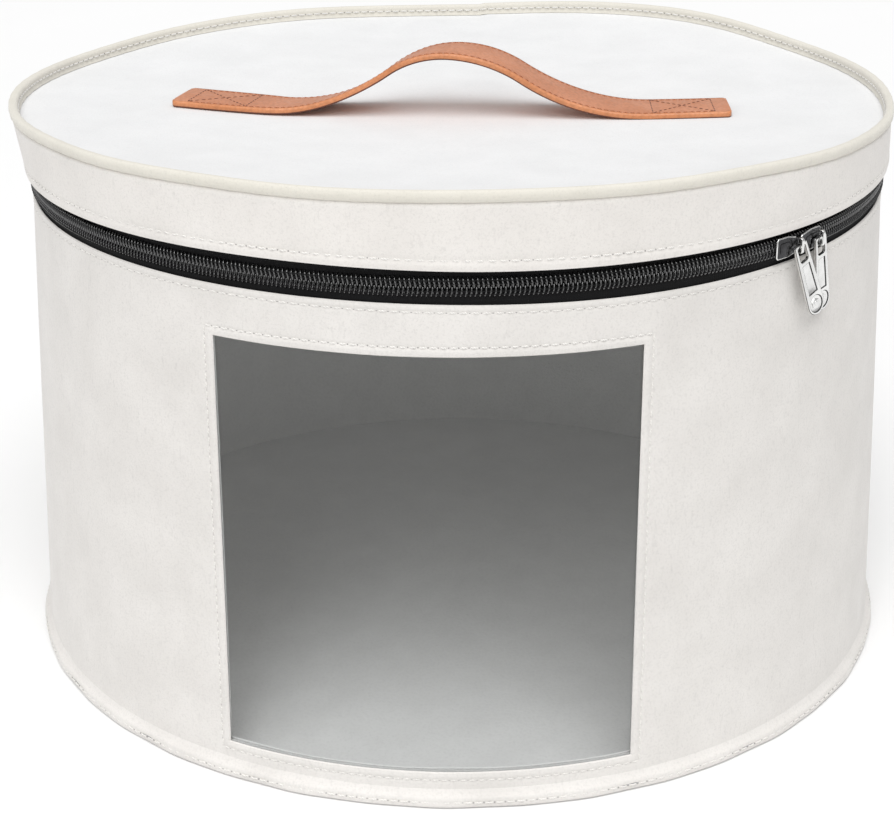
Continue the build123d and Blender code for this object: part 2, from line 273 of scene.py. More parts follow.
class Shape:
    """Collects vertices, faces, their cloth coordinates and material numbers for one piece."""

    def __init__(self):
        self.points, self.faces, self.coordinates, self.numbers = [], [], [], []
        self.count = 0

    def add(self, points, faces, coordinates, number=0):
        self.points.append(np.asarray(points, float).reshape(-1, 3))
        self.faces.extend([[i + self.count for i in face] for face in faces])
        self.coordinates.extend(coordinates)
        self.numbers.extend([number] * len(faces))
        self.count += len(self.points[-1])

    def grid(self, points, closed=(False, False), number=0, skip=None, flip=False):
        """A grid of points[i][j], with cloth coordinates in metres along i and j."""
        points = np.asarray(points, float)
        n, m = points.shape[:2]
        along = np.linalg.norm(np.diff(points, axis=0, append=points[:1]), axis=2).mean(1)
        across = np.linalg.norm(np.diff(points, axis=1, append=points[:, :1]), axis=2).mean(0)
        u = np.concatenate([[0], np.cumsum(along)])
        v = np.concatenate([[0], np.cumsum(across)])
        faces, coordinates = [], []
        for i in range(n if closed[0] else n - 1):
            for j in range(m if closed[1] else m - 1):
                if skip is not None and skip(i, j):
                    continue
                corners = [(i, j), (i + 1, j), (i + 1, j + 1), (i, j + 1)]
                if flip:
                    corners.reverse()
                faces.append([(a % n) * m + b % m for a, b in corners])
                coordinates.append([(u[a], v[b]) for a, b in corners])
        self.add(points, faces, coordinates, number)

    def tube(self, path, radius, sides, closed=False, number=0, up=None):
        """A round tube along a path of points; radius may be one value or one for each point."""
        path = np.asarray(path, float)
        radius = np.broadcast_to(radius, len(path))
        if closed:
            ahead = np.roll(path, -1, 0) - np.roll(path, 1, 0)
        else:
            ahead = np.gradient(path, axis=0)
        ahead /= np.linalg.norm(ahead, axis=1)[:, None]
        up = np.array((0, 0, 1.0)) if up is None else np.asarray(up, float)
        side = np.cross(ahead, up)
        side /= np.maximum(np.linalg.norm(side, axis=1), 1e-9)[:, None]
        over = np.cross(side, ahead)
        turn = np.arange(sides) * FULL / sides
        ring = (
            side[:, None] * np.cos(turn)[None, :, None]
            + over[:, None] * np.sin(turn)[None, :, None]
        )
        points = path[:, None] + ring * radius[:, None, None]
        self.grid(points, closed=(closed, True), number=number, flip=True)
        if not closed:
            first = self.count - points.shape[0] * sides
            last = self.count - sides
            for start, order in ((first, 1), (last, -1)):
                face = [start + k for k in range(sides)][::order]
                self.faces.append(face)
                self.coordinates.append([(0, 0)] * sides)
                self.numbers.append(number)

    def disc(self, top, under):
        """A closed round layer from the points of its two faces, by bearing and ring."""
        self.grid(top, closed=(True, False))
        self.grid(under, closed=(True, False))
        self.grid(np.stack([top[:, -1], under[:, -1]], 1), closed=(True, False))
        for hub in (top[:, 0], under[:, 0]):
            self.add(hub, [list(range(len(hub)))], [[(p[0], p[1]) for p in hub]])

    def made(self, name, materials):
        mesh = bpy.data.meshes.new(name)
        mesh.from_pydata(np.concatenate(self.points).tolist(), [], self.faces)
        layer = mesh.uv_layers.new(name="cloth")
        flat = [c for face in self.coordinates for pair in face for c in pair]
        layer.data.foreach_set("uv", flat)
        mesh.polygons.foreach_set("material_index", self.numbers)
        mesh.polygons.foreach_set("use_smooth", [True] * len(mesh.polygons))
        for material in materials:
            mesh.materials.append(material)
        mesh.validate()
        weld(mesh)
        piece = bpy.data.objects.new(name, mesh)
        bpy.context.collection.objects.link(piece)
        return piece


def finish_piece(piece, body, replaces=(), sharp=40):
    """Shades the piece, lets it ride on its body and hides the nodes it stands for."""
    piece.data.shade_smooth()
    piece.data.set_sharp_from_angle(angle=radians(sharp))
    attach(piece, body)
    if replaces:
        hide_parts(*replaces)


def bearings(count):
    """Evenly spread bearings once round the box, starting at its back."""
    return np.linspace(-pi, pi, count, endpoint=False)


def refined(low, high, step, fine_spots, fine_step, reach):
    """Positions from low to high, step apart, and fine_step apart within reach of each fine spot."""
    places = set(np.round(np.linspace(low, high, max(2, int((high - low) / step) + 1)), 7))
    for spot in fine_spots:
        fine = np.arange(spot - reach, spot + reach + fine_step / 2, fine_step)
        places |= set(np.round(fine[(fine > low) & (fine < high)], 7))
    ordered = sorted(places | {round(s, 7) for s in fine_spots if low <= s <= high})
    kept = [ordered[0]]
    for value in ordered[1:]:
        if value - kept[-1] > 0.3 * fine_step:
            kept.append(value)
    return np.array(kept)


def seam_relief(distance, inset):
    """Height of cloth at a distance from a sewn edge: sunk at the stitches, puffed beside them."""
    sink = SEAM_SINK * np.exp(-(((distance - inset) / (0.7 * MM)) ** 2))
    puff = SEAM_PUFF * np.exp(-(((distance - inset / 2) / (0.45 * inset)) ** 2))
    return puff - sink


# === Materials ===================================================================================
class Surface:
    """A node material. Heights and colours are built from textures in metres of the row frame."""

    def __init__(self, name, roughness=0.6, **sockets):
        self.material = bpy.data.materials.new(name)
        self.material.use_nodes = True
        self.tree = self.material.node_tree
        self.shader = self.tree.nodes["Principled BSDF"]
        self.shader.inputs["Roughness"].default_value = roughness
        for socket, value in sockets.items():
            self.shader.inputs[socket.replace("_", " ")].default_value = value
        self.place = self.node("ShaderNodeTexCoord").outputs["Object"]
        self.height = None

    def node(self, kind, **values):
        node = self.tree.nodes.new(kind)
        for key, value in values.items():
            setattr(node, key, value)
        return node

    def link(self, source, target):
        self.tree.links.new(source, target)

    def cloth(self):
        """Cloth coordinates: metres along and across the piece."""
        return self.node("ShaderNodeUVMap", uv_map="cloth").outputs["UV"]

    def stretched(self, scale):
        node = self.node("ShaderNodeMapping")
        node.inputs["Scale"].default_value = scale
        self.link(self.place, node.inputs["Vector"])
        return node.outputs["Vector"]

    def noise(self, scale, detail, roughness=0.55, place=None):
        node = self.node("ShaderNodeTexNoise")
        node.inputs["Scale"].default_value = scale
        node.inputs["Detail"].default_value = detail
        node.inputs["Roughness"].default_value = roughness
        self.link(place or self.place, node.inputs["Vector"])
        return node.outputs["Fac"]

    def cells(self, scale):
        node = self.node("ShaderNodeTexVoronoi")
        node.inputs["Scale"].default_value = scale
        self.link(self.place, node.inputs["Vector"])
        return node.outputs["Distance"]

    def wave(self, scale, direction, place=None, distortion=0.0):
        node = self.node("ShaderNodeTexWave", bands_direction=direction)
        node.inputs["Scale"].default_value = scale
        node.inputs["Distortion"].default_value = distortion
        self.link(place or self.place, node.inputs["Vector"])
        return node.outputs["Fac"]

    def math(self, operation, a, b):
        node = self.node("ShaderNodeMath", operation=operation)
        for value, target in ((a, node.inputs[0]), (b, node.inputs[1])):
            if isinstance(value, (int, float)):
                target.default_value = value
            else:
                self.link(value, target)
        return node.outputs["Value"]

    def spread(self, value, low, high, to_low=0.0, to_high=1.0):
        node = self.node("ShaderNodeMapRange")
        self.link(value, node.inputs["Value"])
        for name, number in zip(("From Min", "From Max", "To Min", "To Max"), (low, high, to_low, to_high)):
            node.inputs[name].default_value = number
        return node.outputs["Result"]

    def blend(self, amount, a, b):
        node = self.node("ShaderNodeMix", data_type="RGBA")
        self.link(amount, node.inputs["Factor"])
        for value, target in ((a, node.inputs["A"]), (b, node.inputs["B"])):
            if isinstance(value, tuple):
                target.default_value = (*value, 1)
            else:
                self.link(value, target)
        return node.outputs["Result"]

    def colour(self, output):
        self.link(output, self.shader.inputs["Base Color"])

    def rough(self, output):
        self.link(output, self.shader.inputs["Roughness"])

    def bump(self, height, distance, strength):
        """Adds a bump; several bumps chain from coarse to fine."""
        node = self.node("ShaderNodeBump")
        node.inputs["Distance"].default_value = distance
        node.inputs["Strength"].default_value = strength
        self.link(height, node.inputs["Height"])
        if self.height is not None:
            self.link(self.height, node.inputs["Normal"])
        self.height = node.outputs["Normal"]
        self.link(self.height, self.shader.inputs["Normal"])


def felt(name, light, shade, grain=0.5):
    """Pressed felt: tangled fine fibres, faint mottling and scattered darker specks."""
    s = Surface(name, roughness=0.94, Sheen_Weight=0.25, Sheen_Roughness=0.6, Specular_IOR_Level=0.2)
    mottle = s.spread(s.noise(34, 4), 0.3, 0.7)
    colour = s.blend(mottle, light, shade)
    fibre = s.noise(950, 5, 0.75)
    colour = s.blend(s.spread(fibre, 0.50, 0.72, 0, grain), colour, tuple(c * 0.74 for c in shade))
    streak = s.noise(520, 2, 0.6, place=s.stretched((1, 1, 0.35)))
    colour = s.blend(s.spread(streak, 0.58, 0.8, 0, 0.5 * grain), colour, tuple(c * 0.70 for c in shade))
    s.colour(colour)
    s.bump(s.noise(160, 3), 0.35 * MM, 0.5)
    s.bump(s.noise(1100, 4, 0.75), 0.22 * MM, 0.8)
    return s.material


def woven(name, light, shade, threads, depth):
    """A plain weave, threads per metre in both directions of the cloth coordinates."""
    s = Surface(name, roughness=0.8, Sheen_Weight=0.02, Specular_IOR_Level=0.25)
    cloth = s.cloth()
    warp = s.wave(threads * WAVE_PER_METRE, "X", place=cloth)
    weft = s.wave(threads * WAVE_PER_METRE, "Y", place=cloth)
    weave = s.math("MULTIPLY", warp, weft)
    mottle = s.blend(s.spread(s.noise(60, 3), 0.3, 0.7), light, shade)
    s.colour(s.blend(s.spread(weave, 0.0, 0.6, 0.45, 0.0), mottle, tuple(c * 0.6 for c in shade)))
    s.bump(weave, depth * MM, 0.7)
    return s.material


def leather(name, light, shade):
    """Coated leather: pebbled grain, uneven tan and slightly worn gloss."""
    s = Surface(name, roughness=0.42, Specular_IOR_Level=0.45, Coat_Weight=0.08, Coat_Roughness=0.3)
    patch = s.spread(s.noise(38, 4, 0.6), 0.3, 0.72)
    colour = s.blend(patch, light, shade)
    pebble = s.cells(620)
    colour = s.blend(s.spread(pebble, 0.35, 0.8, 0, 0.35), colour, tuple(c * 0.6 for c in shade))
    s.colour(colour)
    s.rough(s.spread(s.noise(210, 3), 0.3, 0.7, 0.34, 0.52))
    s.bump(pebble, 0.10 * MM, 0.6)
    s.bump(s.noise(1500, 3), 0.05 * MM, 0.5)
    return s.material


def thread(name, light, shade):
    """Twisted sewing thread, seen as fine slanted ridges."""
    s = Surface(name, roughness=0.7, Sheen_Weight=0.2)
    twist = s.wave(480, "DIAGONAL", distortion=1.0)
    s.colour(s.blend(twist, shade, light))
    s.bump(twist, 0.12 * MM, 0.8)
    return s.material


def nylon(name):
    """Black moulded coil wire with a soft gloss."""
    s = Surface(name, roughness=0.1, Specular_IOR_Level=1.0, IOR=1.7)
    s.colour(s.blend(s.noise(700, 2), (0.003, 0.003, 0.003), (0.008, 0.008, 0.009)))
    s.rough(s.spread(s.noise(900, 2), 0.3, 0.7, 0.05, 0.15))
    s.bump(s.noise(2500, 2), 0.03 * MM, 0.4)
    return s.material


def metal(name, light, shade, roughness):
    """Plated zinc: fine scratches and uneven polish, as a random blend of two tones."""
    s = Surface(name, roughness=roughness, Metallic=1.0)
    s.colour(s.blend(s.spread(s.noise(300, 3), 0.35, 0.7), light, shade))
    scratch = s.noise(900, 3, 0.7, place=s.stretched((1, 1, 0.06)))
    s.rough(s.spread(scratch, 0.3, 0.75, roughness * 0.6, roughness * 1.7))
    s.bump(scratch, 0.02 * MM, 0.35)
    return s.material


def board(name, light, shade):
    """Stiff sheet with faint pressed flecks."""
    s = Surface(name, roughness=0.7)
    s.colour(s.blend(s.spread(s.noise(240, 4, 0.7), 0.35, 0.65), light, shade))
    s.bump(s.noise(700, 2), 0.05 * MM, 0.5)
    return s.material


def lining_cloth(name, light, shade):
    """Thin non-woven cloth, spot-bonded in a fine grid, over faint fibres."""
    s = Surface(name, roughness=0.88, Sheen_Weight=0.15, Specular_IOR_Level=0.25)
    spots = s.cells(560)
    base = s.blend(s.spread(s.noise(48, 4), 0.3, 0.7), light, shade)
    s.colour(s.blend(s.spread(spots, 0.1, 0.5, 0.22, 0.0), base, tuple(c * 0.7 for c in shade)))
    s.bump(spots, 0.12 * MM, 0.5)
    s.bump(s.noise(1200, 3, 0.7), 0.08 * MM, 0.5)
    return s.material


def clear_sheet(name):
    """Clear flexible sheet: see-through, with a wavy gloss that is the same from both of its faces."""
    material = bpy.data.materials.new(name)
    material.use_nodes = True
    tree = material.node_tree
    tree.nodes.clear()
    out = tree.nodes.new("ShaderNodeOutputMaterial")
    clear = tree.nodes.new("ShaderNodeBsdfTransparent")
    clear.inputs["Color"].default_value = (0.965, 0.972, 0.975, 1)
    gloss = tree.nodes.new("ShaderNodeBsdfGlossy")
    gloss.inputs["Roughness"].default_value = 0.06
    gloss.inputs["Color"].default_value = (1, 1, 1, 1)
    mix = tree.nodes.new("ShaderNodeMixShader")
    slant = tree.nodes.new("ShaderNodeLayerWeight")
    slant.inputs["Blend"].default_value = 0.5
    glancing = tree.nodes.new("ShaderNodeMath")
    glancing.operation = "POWER"
    glancing.inputs[1].default_value = 5
    mirrored = tree.nodes.new("ShaderNodeMath")
    mirrored.operation = "MULTIPLY_ADD"
    mirrored.inputs[1].default_value = 0.97
    mirrored.inputs[2].default_value = 0.03
    place = tree.nodes.new("ShaderNodeTexCoord")
    waves = tree.nodes.new("ShaderNodeTexNoise")
    waves.inputs["Scale"].default_value = 16
    waves.inputs["Detail"].default_value = 1
    bump = tree.nodes.new("ShaderNodeBump")
    bump.inputs["Distance"].default_value = 1.2 * MM
    bump.inputs["Strength"].default_value = 0.5
    tree.links.new(place.outputs["Object"], waves.inputs["Vector"])
    tree.links.new(waves.outputs["Fac"], bump.inputs["Height"])
    tree.links.new(bump.outputs["Normal"], gloss.inputs["Normal"])
    tree.links.new(bump.outputs["Normal"], slant.inputs["Normal"])
    tree.links.new(slant.outputs["Facing"], glancing.inputs[0])
    tree.links.new(glancing.outputs["Value"], mirrored.inputs[0])
    tree.links.new(mirrored.outputs["Value"], mix.inputs["Fac"])
    tree.links.new(clear.outputs["BSDF"], mix.inputs[1])
    tree.links.new(gloss.outputs["BSDF"], mix.inputs[2])
    tree.links.new(mix.outputs["Shader"], out.inputs["Surface"])
    return material


WALL_FELT = felt("wall_felt", (0.79, 0.765, 0.735), (0.72, 0.695, 0.665))
# the lid's top felt is drawn lighter and cooler than the wall's felt: painted light from above on the same
# cloth
LID_FELT_PAINTED_LIGHT = felt("lid_felt", (0.85, 0.853, 0.858), (0.80, 0.803, 0.808), grain=0.3)
BAND_FELT = felt("band_felt", (0.83, 0.80, 0.765), (0.77, 0.74, 0.705))
RIM_FELT = felt("rim_felt", (0.77, 0.74, 0.665), (0.73, 0.70, 0.625), grain=0.4)
LINING = lining_cloth("lining", (0.86, 0.85, 0.83), (0.81, 0.80, 0.78))
CREAM_THREAD = thread("cream_thread", (0.88, 0.865, 0.83), (0.70, 0.68, 0.65))
# needle holes: dark grey plugs that paint the shade inside each hole in the cloth
NEEDLE_HOLE_SHADE = thread("needle_hole_painted_shade", (0.42, 0.40, 0.385), (0.31, 0.295, 0.285))
TAPE = woven("zip_tape_cloth", (0.003, 0.003, 0.003), (0.006, 0.006, 0.007), 900, depth=0.2)
NYLON = nylon("zip_nylon")
TAN = leather("strap_leather", (0.68, 0.295, 0.165), (0.56, 0.22, 0.11))
TAN_SIDE = leather("strap_side", (0.70, 0.285, 0.13), (0.60, 0.225, 0.09))
# dark edge paint, also used as painted shade along the near lower edge of the strap
TAN_EDGE_PAINT_AND_SHADE = leather("strap_edge_paint_and_shade", (0.20, 0.055, 0.025), (0.11, 0.032, 0.015))
TAN_THREAD = thread("tan_thread", (0.52, 0.20, 0.10), (0.36, 0.13, 0.06))
DARK_THREAD = thread("dark_tan_thread", (0.20, 0.06, 0.03), (0.10, 0.03, 0.015))
NICKEL = metal("bright_nickel", (0.86, 0.86, 0.85), (0.74, 0.74, 0.73), 0.16)
# near-black metal for the pulls' rounded edges and recess rims: painted dark reflections and shade along the
# edges, not a colour of the metal
EDGE_NICKEL_PAINTED_DARK = metal("nickel_edges_painted_dark_reflection", (0.05, 0.05, 0.05), (0.03, 0.03, 0.03), 0.5)
DARK_NICKEL = metal("dark_nickel", (0.075, 0.075, 0.078), (0.045, 0.045, 0.047), 0.2)
STEEL = metal("spring_wire", (0.5, 0.5, 0.52), (0.38, 0.38, 0.4), 0.32)
BOARD = board("stiff_board", (0.74, 0.73, 0.70), (0.66, 0.65, 0.62))
CLEAR = clear_sheet("clear_sheet")


# === Stitches ====================================================================================
def stitch_row(shape, path, outward, number=0, hole_shade_number=None, pitch=STITCH_PITCH,
               length=STITCH_LENGTH, radius=STITCH_RADIUS, closed=True):
    """Evenly spaced stitches along a path of points, each bowed outward with its ends in the cloth."""
    path, outward = np.asarray(path, float), np.asarray(outward, float)
    if closed:
        path = np.concatenate([path, path[:1]])
        outward = np.concatenate([outward, outward[:1]])
    run = np.concatenate([[0], np.cumsum(np.linalg.norm(np.diff(path, axis=0), axis=1))])
    count = max(1, round(run[-1] / pitch))
    step = run[-1] / count

    def on(distance, values):
        return np.stack([np.interp(distance, run, values[:, k]) for k in range(3)], -1)

    share = np.array((-1.0, -0.72, 0.0, 0.72, 1.0))
    bow = np.array((-0.9, 0.05, 0.55, 0.05, -0.9))
    girth = np.array((0.45, 0.95, 1.0, 0.95, 0.45))
    for k in range(count):
        middle = (k + 0.5) * step
        along = np.clip(middle + share * length / 2, 0, run[-1])
        normal = on(np.full(5, middle), outward)
        normal /= np.linalg.norm(normal, axis=1)[:, None]
        points = on(along, path) + normal * (bow * radius)[:, None]
        shape.tube(points, girth * radius, sides=6, number=number, up=normal[0])
        # each needle hole gets a short dark plug: painted shade in the hole, not a real opening
        if hole_shade_number is not None and (closed or k):
            spot = on(np.array([k * step]), path)[0]
            shape.tube(
                np.array([spot - normal[0] * radius, spot + normal[0] * 0.10 * MM]),
                0.85 * radius, sides=6, number=hole_shade_number, up=np.roll(normal[0], 1),
            )


def ring_path(radius_at, height, soft=None):
    """Points and outward directions round the box at a height."""
    turn = bearings(720)
    radius = radius_at(turn)
    points = soft(turn, radius, height) if soft else at(turn, radius, height)
    return points, at(turn, 1.0, 0.0)


# === Wall, window and linings ====================================================================
def wall_columns(step):
    """Column places from -1 to 1 across the window, and on from 1 to 3 round the back to -1 again."""
    half_arc = radians(25.3)
    middle = (FOOT_RADIUS + HEM_RADIUS) / 2
    front = half_arc * middle
    across = refined(-1, 1, step / front, (-1, 1), EDGE_STEP / front, EDGE_REACH / front)
    rest = (pi - half_arc) * middle
    round_back = refined(1, 3, step / rest, (1, 3), EDGE_STEP / rest, EDGE_REACH / rest)
    return np.concatenate([across, round_back[1:-1]])


def column_bearings(columns, radius):
    """The bearing of each column at a radius, so that the window's sides stay upright."""
    edge = asin(WINDOW_HALF / radius)
    inside = columns * edge
    beyond = edge + (columns - 1) / 2 * (FULL - 2 * edge)
    return np.where(columns <= 1, inside, beyond)


def windowed_shell(shape, radius_at, thickness, low, high, give, relief, lift, step=4.5 * MM):
    """A sheet round the box with the window cut out of it and rounded cut edges."""
    columns = wall_columns(step)
    rows = refined(low, high, step, (low, high, WINDOW_SILL, WINDOW_HEAD), EDGE_STEP, EDGE_REACH)
    turn = np.stack([column_bearings(columns, radius_at(z)) for z in rows], 1)
    height = np.broadcast_to(rows, turn.shape)
    radius = radius_at(height)
    edge = np.arcsin(WINDOW_HALF / radius)
    swing = np.abs(np.mod(turn + pi, FULL) - pi)
    aside = (swing - edge) * radius
    above = np.maximum(WINDOW_SILL - height, height - WINDOW_HEAD)
    outer = radius + give(turn, height) + relief(np.maximum(aside, above), height)
    height = height + lift(turn, height)
    front = at(turn, outer, height)
    back = at(turn, outer - thickness, height)
    left, right = np.searchsorted(columns, (-1 + 1e-6, 1 - 1e-6))
    left -= 1
    sill, head = (int(np.argmin(np.abs(rows - z))) for z in (WINDOW_SILL, WINDOW_HEAD))

    def in_window(i, j):
        return left <= i < right and sill <= j < head

    shape.grid(front, closed=(True, False), skip=in_window)
    shape.grid(back, closed=(True, False), skip=in_window)
    middle = (front + back) / 2
    up = np.array((0, 0, 0.4 * thickness))
    for row, shift in ((0, -up), (len(rows) - 1, up)):
        lip = np.stack([front[:, row], middle[:, row] + shift, back[:, row]], 1)
        shape.grid(lip, closed=(True, False))
    inward = at(turn + pi / 2, 0.4 * thickness, 0)
    for column, shift in ((left, inward), (right, -inward)):
        span = slice(sill, head + 1)
        lip = np.stack(
            [front[column, span], middle[column, span] + shift[column, span], back[column, span]], 1
        )
        shape.grid(lip)
    for row, shift in ((sill, up), (head, -up)):
        span = slice(left, right + 1)
        lip = np.stack([front[span, row], middle[span, row] + shift, back[span, row]], 1)
        shape.grid(lip)


def wall_cover():
    def relief(from_window, height):
        hem = seam_relief(HEM - height, HEM_STITCH_INSET)
        window = np.where(from_window > -1e-6, seam_relief(from_window, WINDOW_STITCH_INSET), 0)
        return hem + window

    shape = Shape()
    windowed_shell(
        shape, wall_radius, FELT, FOOT, HEM - 0.4 * FELT, wall_give, relief, wall_hem_lift
    )
    piece = shape.made("wall_felt_cover", [WALL_FELT])
    finish_piece(piece, "box", ["wall_cover"])


def wall_lining():
    outer, inner, foot = node_edge("wall_lining", False)
    top_outer, _, top = node_edge("wall_lining", True)

    def radius_at(height):
        return outer + (top_outer - outer) * (height - foot) / (top - foot)

    def give(bearing, height):
        share = np.clip((height - foot) / (top - foot), 0, 1)
        folds = 0.5 * np.sin(13 * bearing + 3 * share) + 0.5 * np.sin(29 * bearing - 2 * share)
        return -0.7 * MM * (1 + folds) * np.sin(pi * share) ** 0.5

    def relief(from_window, height):
        return 0 * height

    shape = Shape()
    windowed_shell(
        shape, radius_at, outer - inner, foot, top - 1 * MM, give, relief, wall_hem_lift, step=6 * MM
    )
    piece = shape.made("wall_lining_cloth", [LINING])
    finish_piece(piece, "box", ["wall_lining"])


def wall_stitches():
    """Stitch rows below the hem, round the window and round the base seam."""
    shape = Shape()
    height = HEM - HEM_STITCH_INSET
    path, outward = ring_path(
        lambda turn: wall_radius(height) + wall_give(turn, height) + STITCH_LEVEL, height
    )
    path[:, 2] += wall_hem_lift(bearings(len(path)), height)
    stitch_row(shape, path, outward, hole_shade_number=1)
    inset = WINDOW_STITCH_INSET
    sides = WINDOW_HALF + inset
    corners = ((-sides, WINDOW_SILL - inset), (sides, WINDOW_SILL - inset),
               (sides, WINDOW_HEAD + inset), (-sides, WINDOW_HEAD + inset))
    for start, end in zip(corners, corners[1:] + corners[:1]):
        x = np.linspace(start[0], end[0], 60)
        z = np.linspace(start[1], end[1], 60)
        turn = np.arcsin(x / wall_radius(z))
        radius = wall_radius(z) + wall_give(turn, z) + STITCH_LEVEL
        stitch_row(shape, at(turn, radius, z), at(turn, 1.0, 0.0), hole_shade_number=1,
                   pitch=4.2 * MM, length=3.0 * MM, closed=False)
    piece = shape.made("wall_stitching", [CREAM_THREAD, NEEDLE_HOLE_SHADE])
    finish_piece(piece, "box")


def base_seam():
    """Felt lip where the wall and the underside are sewn together, stitched all round."""
    wall, reach = FOOT_RADIUS, SEAM_REACH
    profile = np.array([
        (wall - 0.6 * MM, 0.5 * MM), (reach - 1.4 * MM, 0.4 * MM), (reach - 0.5 * MM, 0.7 * MM),
        (reach, 1.5 * MM), (reach - 0.1 * MM, 2.6 * MM), (reach - 0.35 * MM, 3.2 * MM),
        (reach - 0.3 * MM, 3.9 * MM), (reach - 0.5 * MM, 5.0 * MM), (reach - 1.3 * MM, 5.9 * MM),
        (wall + 1.2 * MM, 6.3 * MM), (wall + 0.5 * MM, 7.2 * MM), (wall - 0.5 * MM, 9.0 * MM),
        (wall - 0.9 * MM, 5.0 * MM),
    ])
    turn = bearings(360)
    wobble = 0.25 * MM * np.sin(23 * turn + 1.1) + 0.2 * MM * np.sin(41 * turn)
    outside = np.clip((profile[:, 0] - wall) / (reach - wall), 0, 1)
    radius = profile[None, :, 0] + wobble[:, None] * outside[None] - 0.45 * MM * outside[None]
    points = at(turn[:, None], radius, np.broadcast_to(profile[:, 1], radius.shape))
    shape = Shape()
    shape.grid(points, closed=(True, True))
    piece = shape.made("base_seam_felt", [WALL_FELT])
    finish_piece(piece, "box", ["base_seam_binding"], sharp=60)
    stitches = Shape()
    path, outward = ring_path(lambda t: np.full_like(t, reach - 0.75 * MM), BASE_STITCH_HEIGHT)
    stitch_row(stitches, path, outward, hole_shade_number=1)
    piece = stitches.made("base_stitching", [CREAM_THREAD, NEEDLE_HOLE_SHADE])
    finish_piece(piece, "box")


# === Lid =========================================================================================
def lid_disc(shape, edge, low, high, swell):
    """A round layer of the lid from its hub to its edge, sagging and swelling with the lid."""
    rings = refined(1.5 * MM, edge, 5 * MM, (edge,), 1.2 * MM, 8 * MM)
    turn = bearings(240)[:, None]
    x, y = rings * np.sin(turn), -rings * np.cos(turn)
    wave = swell * (
        0.6 * np.sin(x / 0.071 + 0.8) * np.cos(y / 0.093) + 0.4 * np.sin(x / 0.037 + y / 0.052 + 1.9)
    )
    shift = lid_level(turn, rings) + wave * (1 - (rings / edge) ** 6)
    reach = rings + (rings / RIM_RADIUS) ** 4 * rim_give(turn)
    top, under = at(turn, reach, high + shift), at(turn, reach, low + shift)
    shape.disc(top, under)


def lid_layers():
    """The lid's top felt, its board and its lining."""
    edge = RIM_INNER + 0.6 * MM
    shape = Shape()
    lid_disc(shape, edge, LID_SURFACE - FELT, LID_SURFACE, 0.5 * MM)
    piece = shape.made("lid_top_felt", [LID_FELT_PAINTED_LIGHT])
    finish_piece(piece, "lid", ["lid_top_cover"])
    for node, name, slot, material in (
        ("lid_board", "lid_board_panel", "board", BOARD),
        ("lid_lining", "lid_lining_cloth", "lining_cloth", LINING),
    ):
        low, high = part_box(node)
        shape = Shape()
        lid_disc(shape, high.x, low.z, high.z, 0.3 * MM)
        piece = shape.made(name, [material])
        finish_piece(piece, "lid", [node], sharp=60)


def lid_ring(node, name, material, rumple=0.0):
    """A round strip of the lid that leans and lifts with the rim, standing for its node."""
    outer, inner, foot = node_edge(node, False)
    top_outer, _, top = node_edge(node, True)
    height = np.linspace(foot, top, 9)
    share = (height - foot) / (top - foot)
    turn = bearings(360)[:, None]
    radius = outer + (top_outer - outer) * share
    radius = radius - rumple * (1 + np.sin(21 * turn + 3 * share)) * np.sin(pi * share)
    height = height + 0 * turn
    front = soften_lid(turn, radius, height)
    back = soften_lid(turn, radius - (outer - inner), height)
    shape = Shape()
    shape.grid(np.concatenate([front, back[:, ::-1]], 1), closed=(True, True))
    piece = shape.made(name, [material])
    finish_piece(piece, "lid", [node], sharp=60)
    return piece, (FULL * outer, top - foot)


def mean_stretch(foot, top):
    """How much taller a strip of the band is than it was drawn, averaged round the lid."""
    return float((lid_share(top) - lid_share(foot)) * rim_lift(bearings(720)).mean())


def band_radius(height):
    """Outside of the band's felt."""
    return BAND_FOOT_RADIUS + (BAND_TOP_RADIUS - BAND_FOOT_RADIUS) * (height - BAND_HEM) / (
        RIM_TOP - BAND_HEM
    )


def lid_band():
    """Felt band from its stitched hem up to the crease below the rim seam."""
    crease = LID_SURFACE + 0.8 * MM
    height = refined(BAND_HEM, crease, 3 * MM, (BAND_HEM, crease), 0.7 * MM, 6 * MM)
    radius = band_radius(height) + seam_relief(height - BAND_HEM, HEM_STITCH_INSET)
    radius -= 1.3 * MM * np.clip((height - crease + 2 * MM) / (2 * MM), 0, 1) ** 2
    profile_r = np.concatenate([radius, band_radius(height)[::-1] - FELT])
    profile_z = np.concatenate([height, height[::-1]])
    turn = bearings(480)[:, None]
    share = lid_share(profile_z)
    ripple = 0.22 * MM * np.sin(9 * turn + 1.2) + 0.14 * MM * np.sin(26 * turn + 0.4)
    points = soften_lid(turn, profile_r + ripple * np.sin(pi * share), profile_z + 0 * turn)
    points[..., 2] += (1 - share) * band_hem_lift(turn)
    shape = Shape()
    shape.grid(points, closed=(True, True))
    piece = shape.made("lid_band_felt", [BAND_FELT])
    finish_piece(piece, "lid", ["lid_band_cover"], sharp=60)
    tall = crease - BAND_HEM + mean_stretch(BAND_HEM, crease) - float(band_hem_lift(bearings(720)).mean())


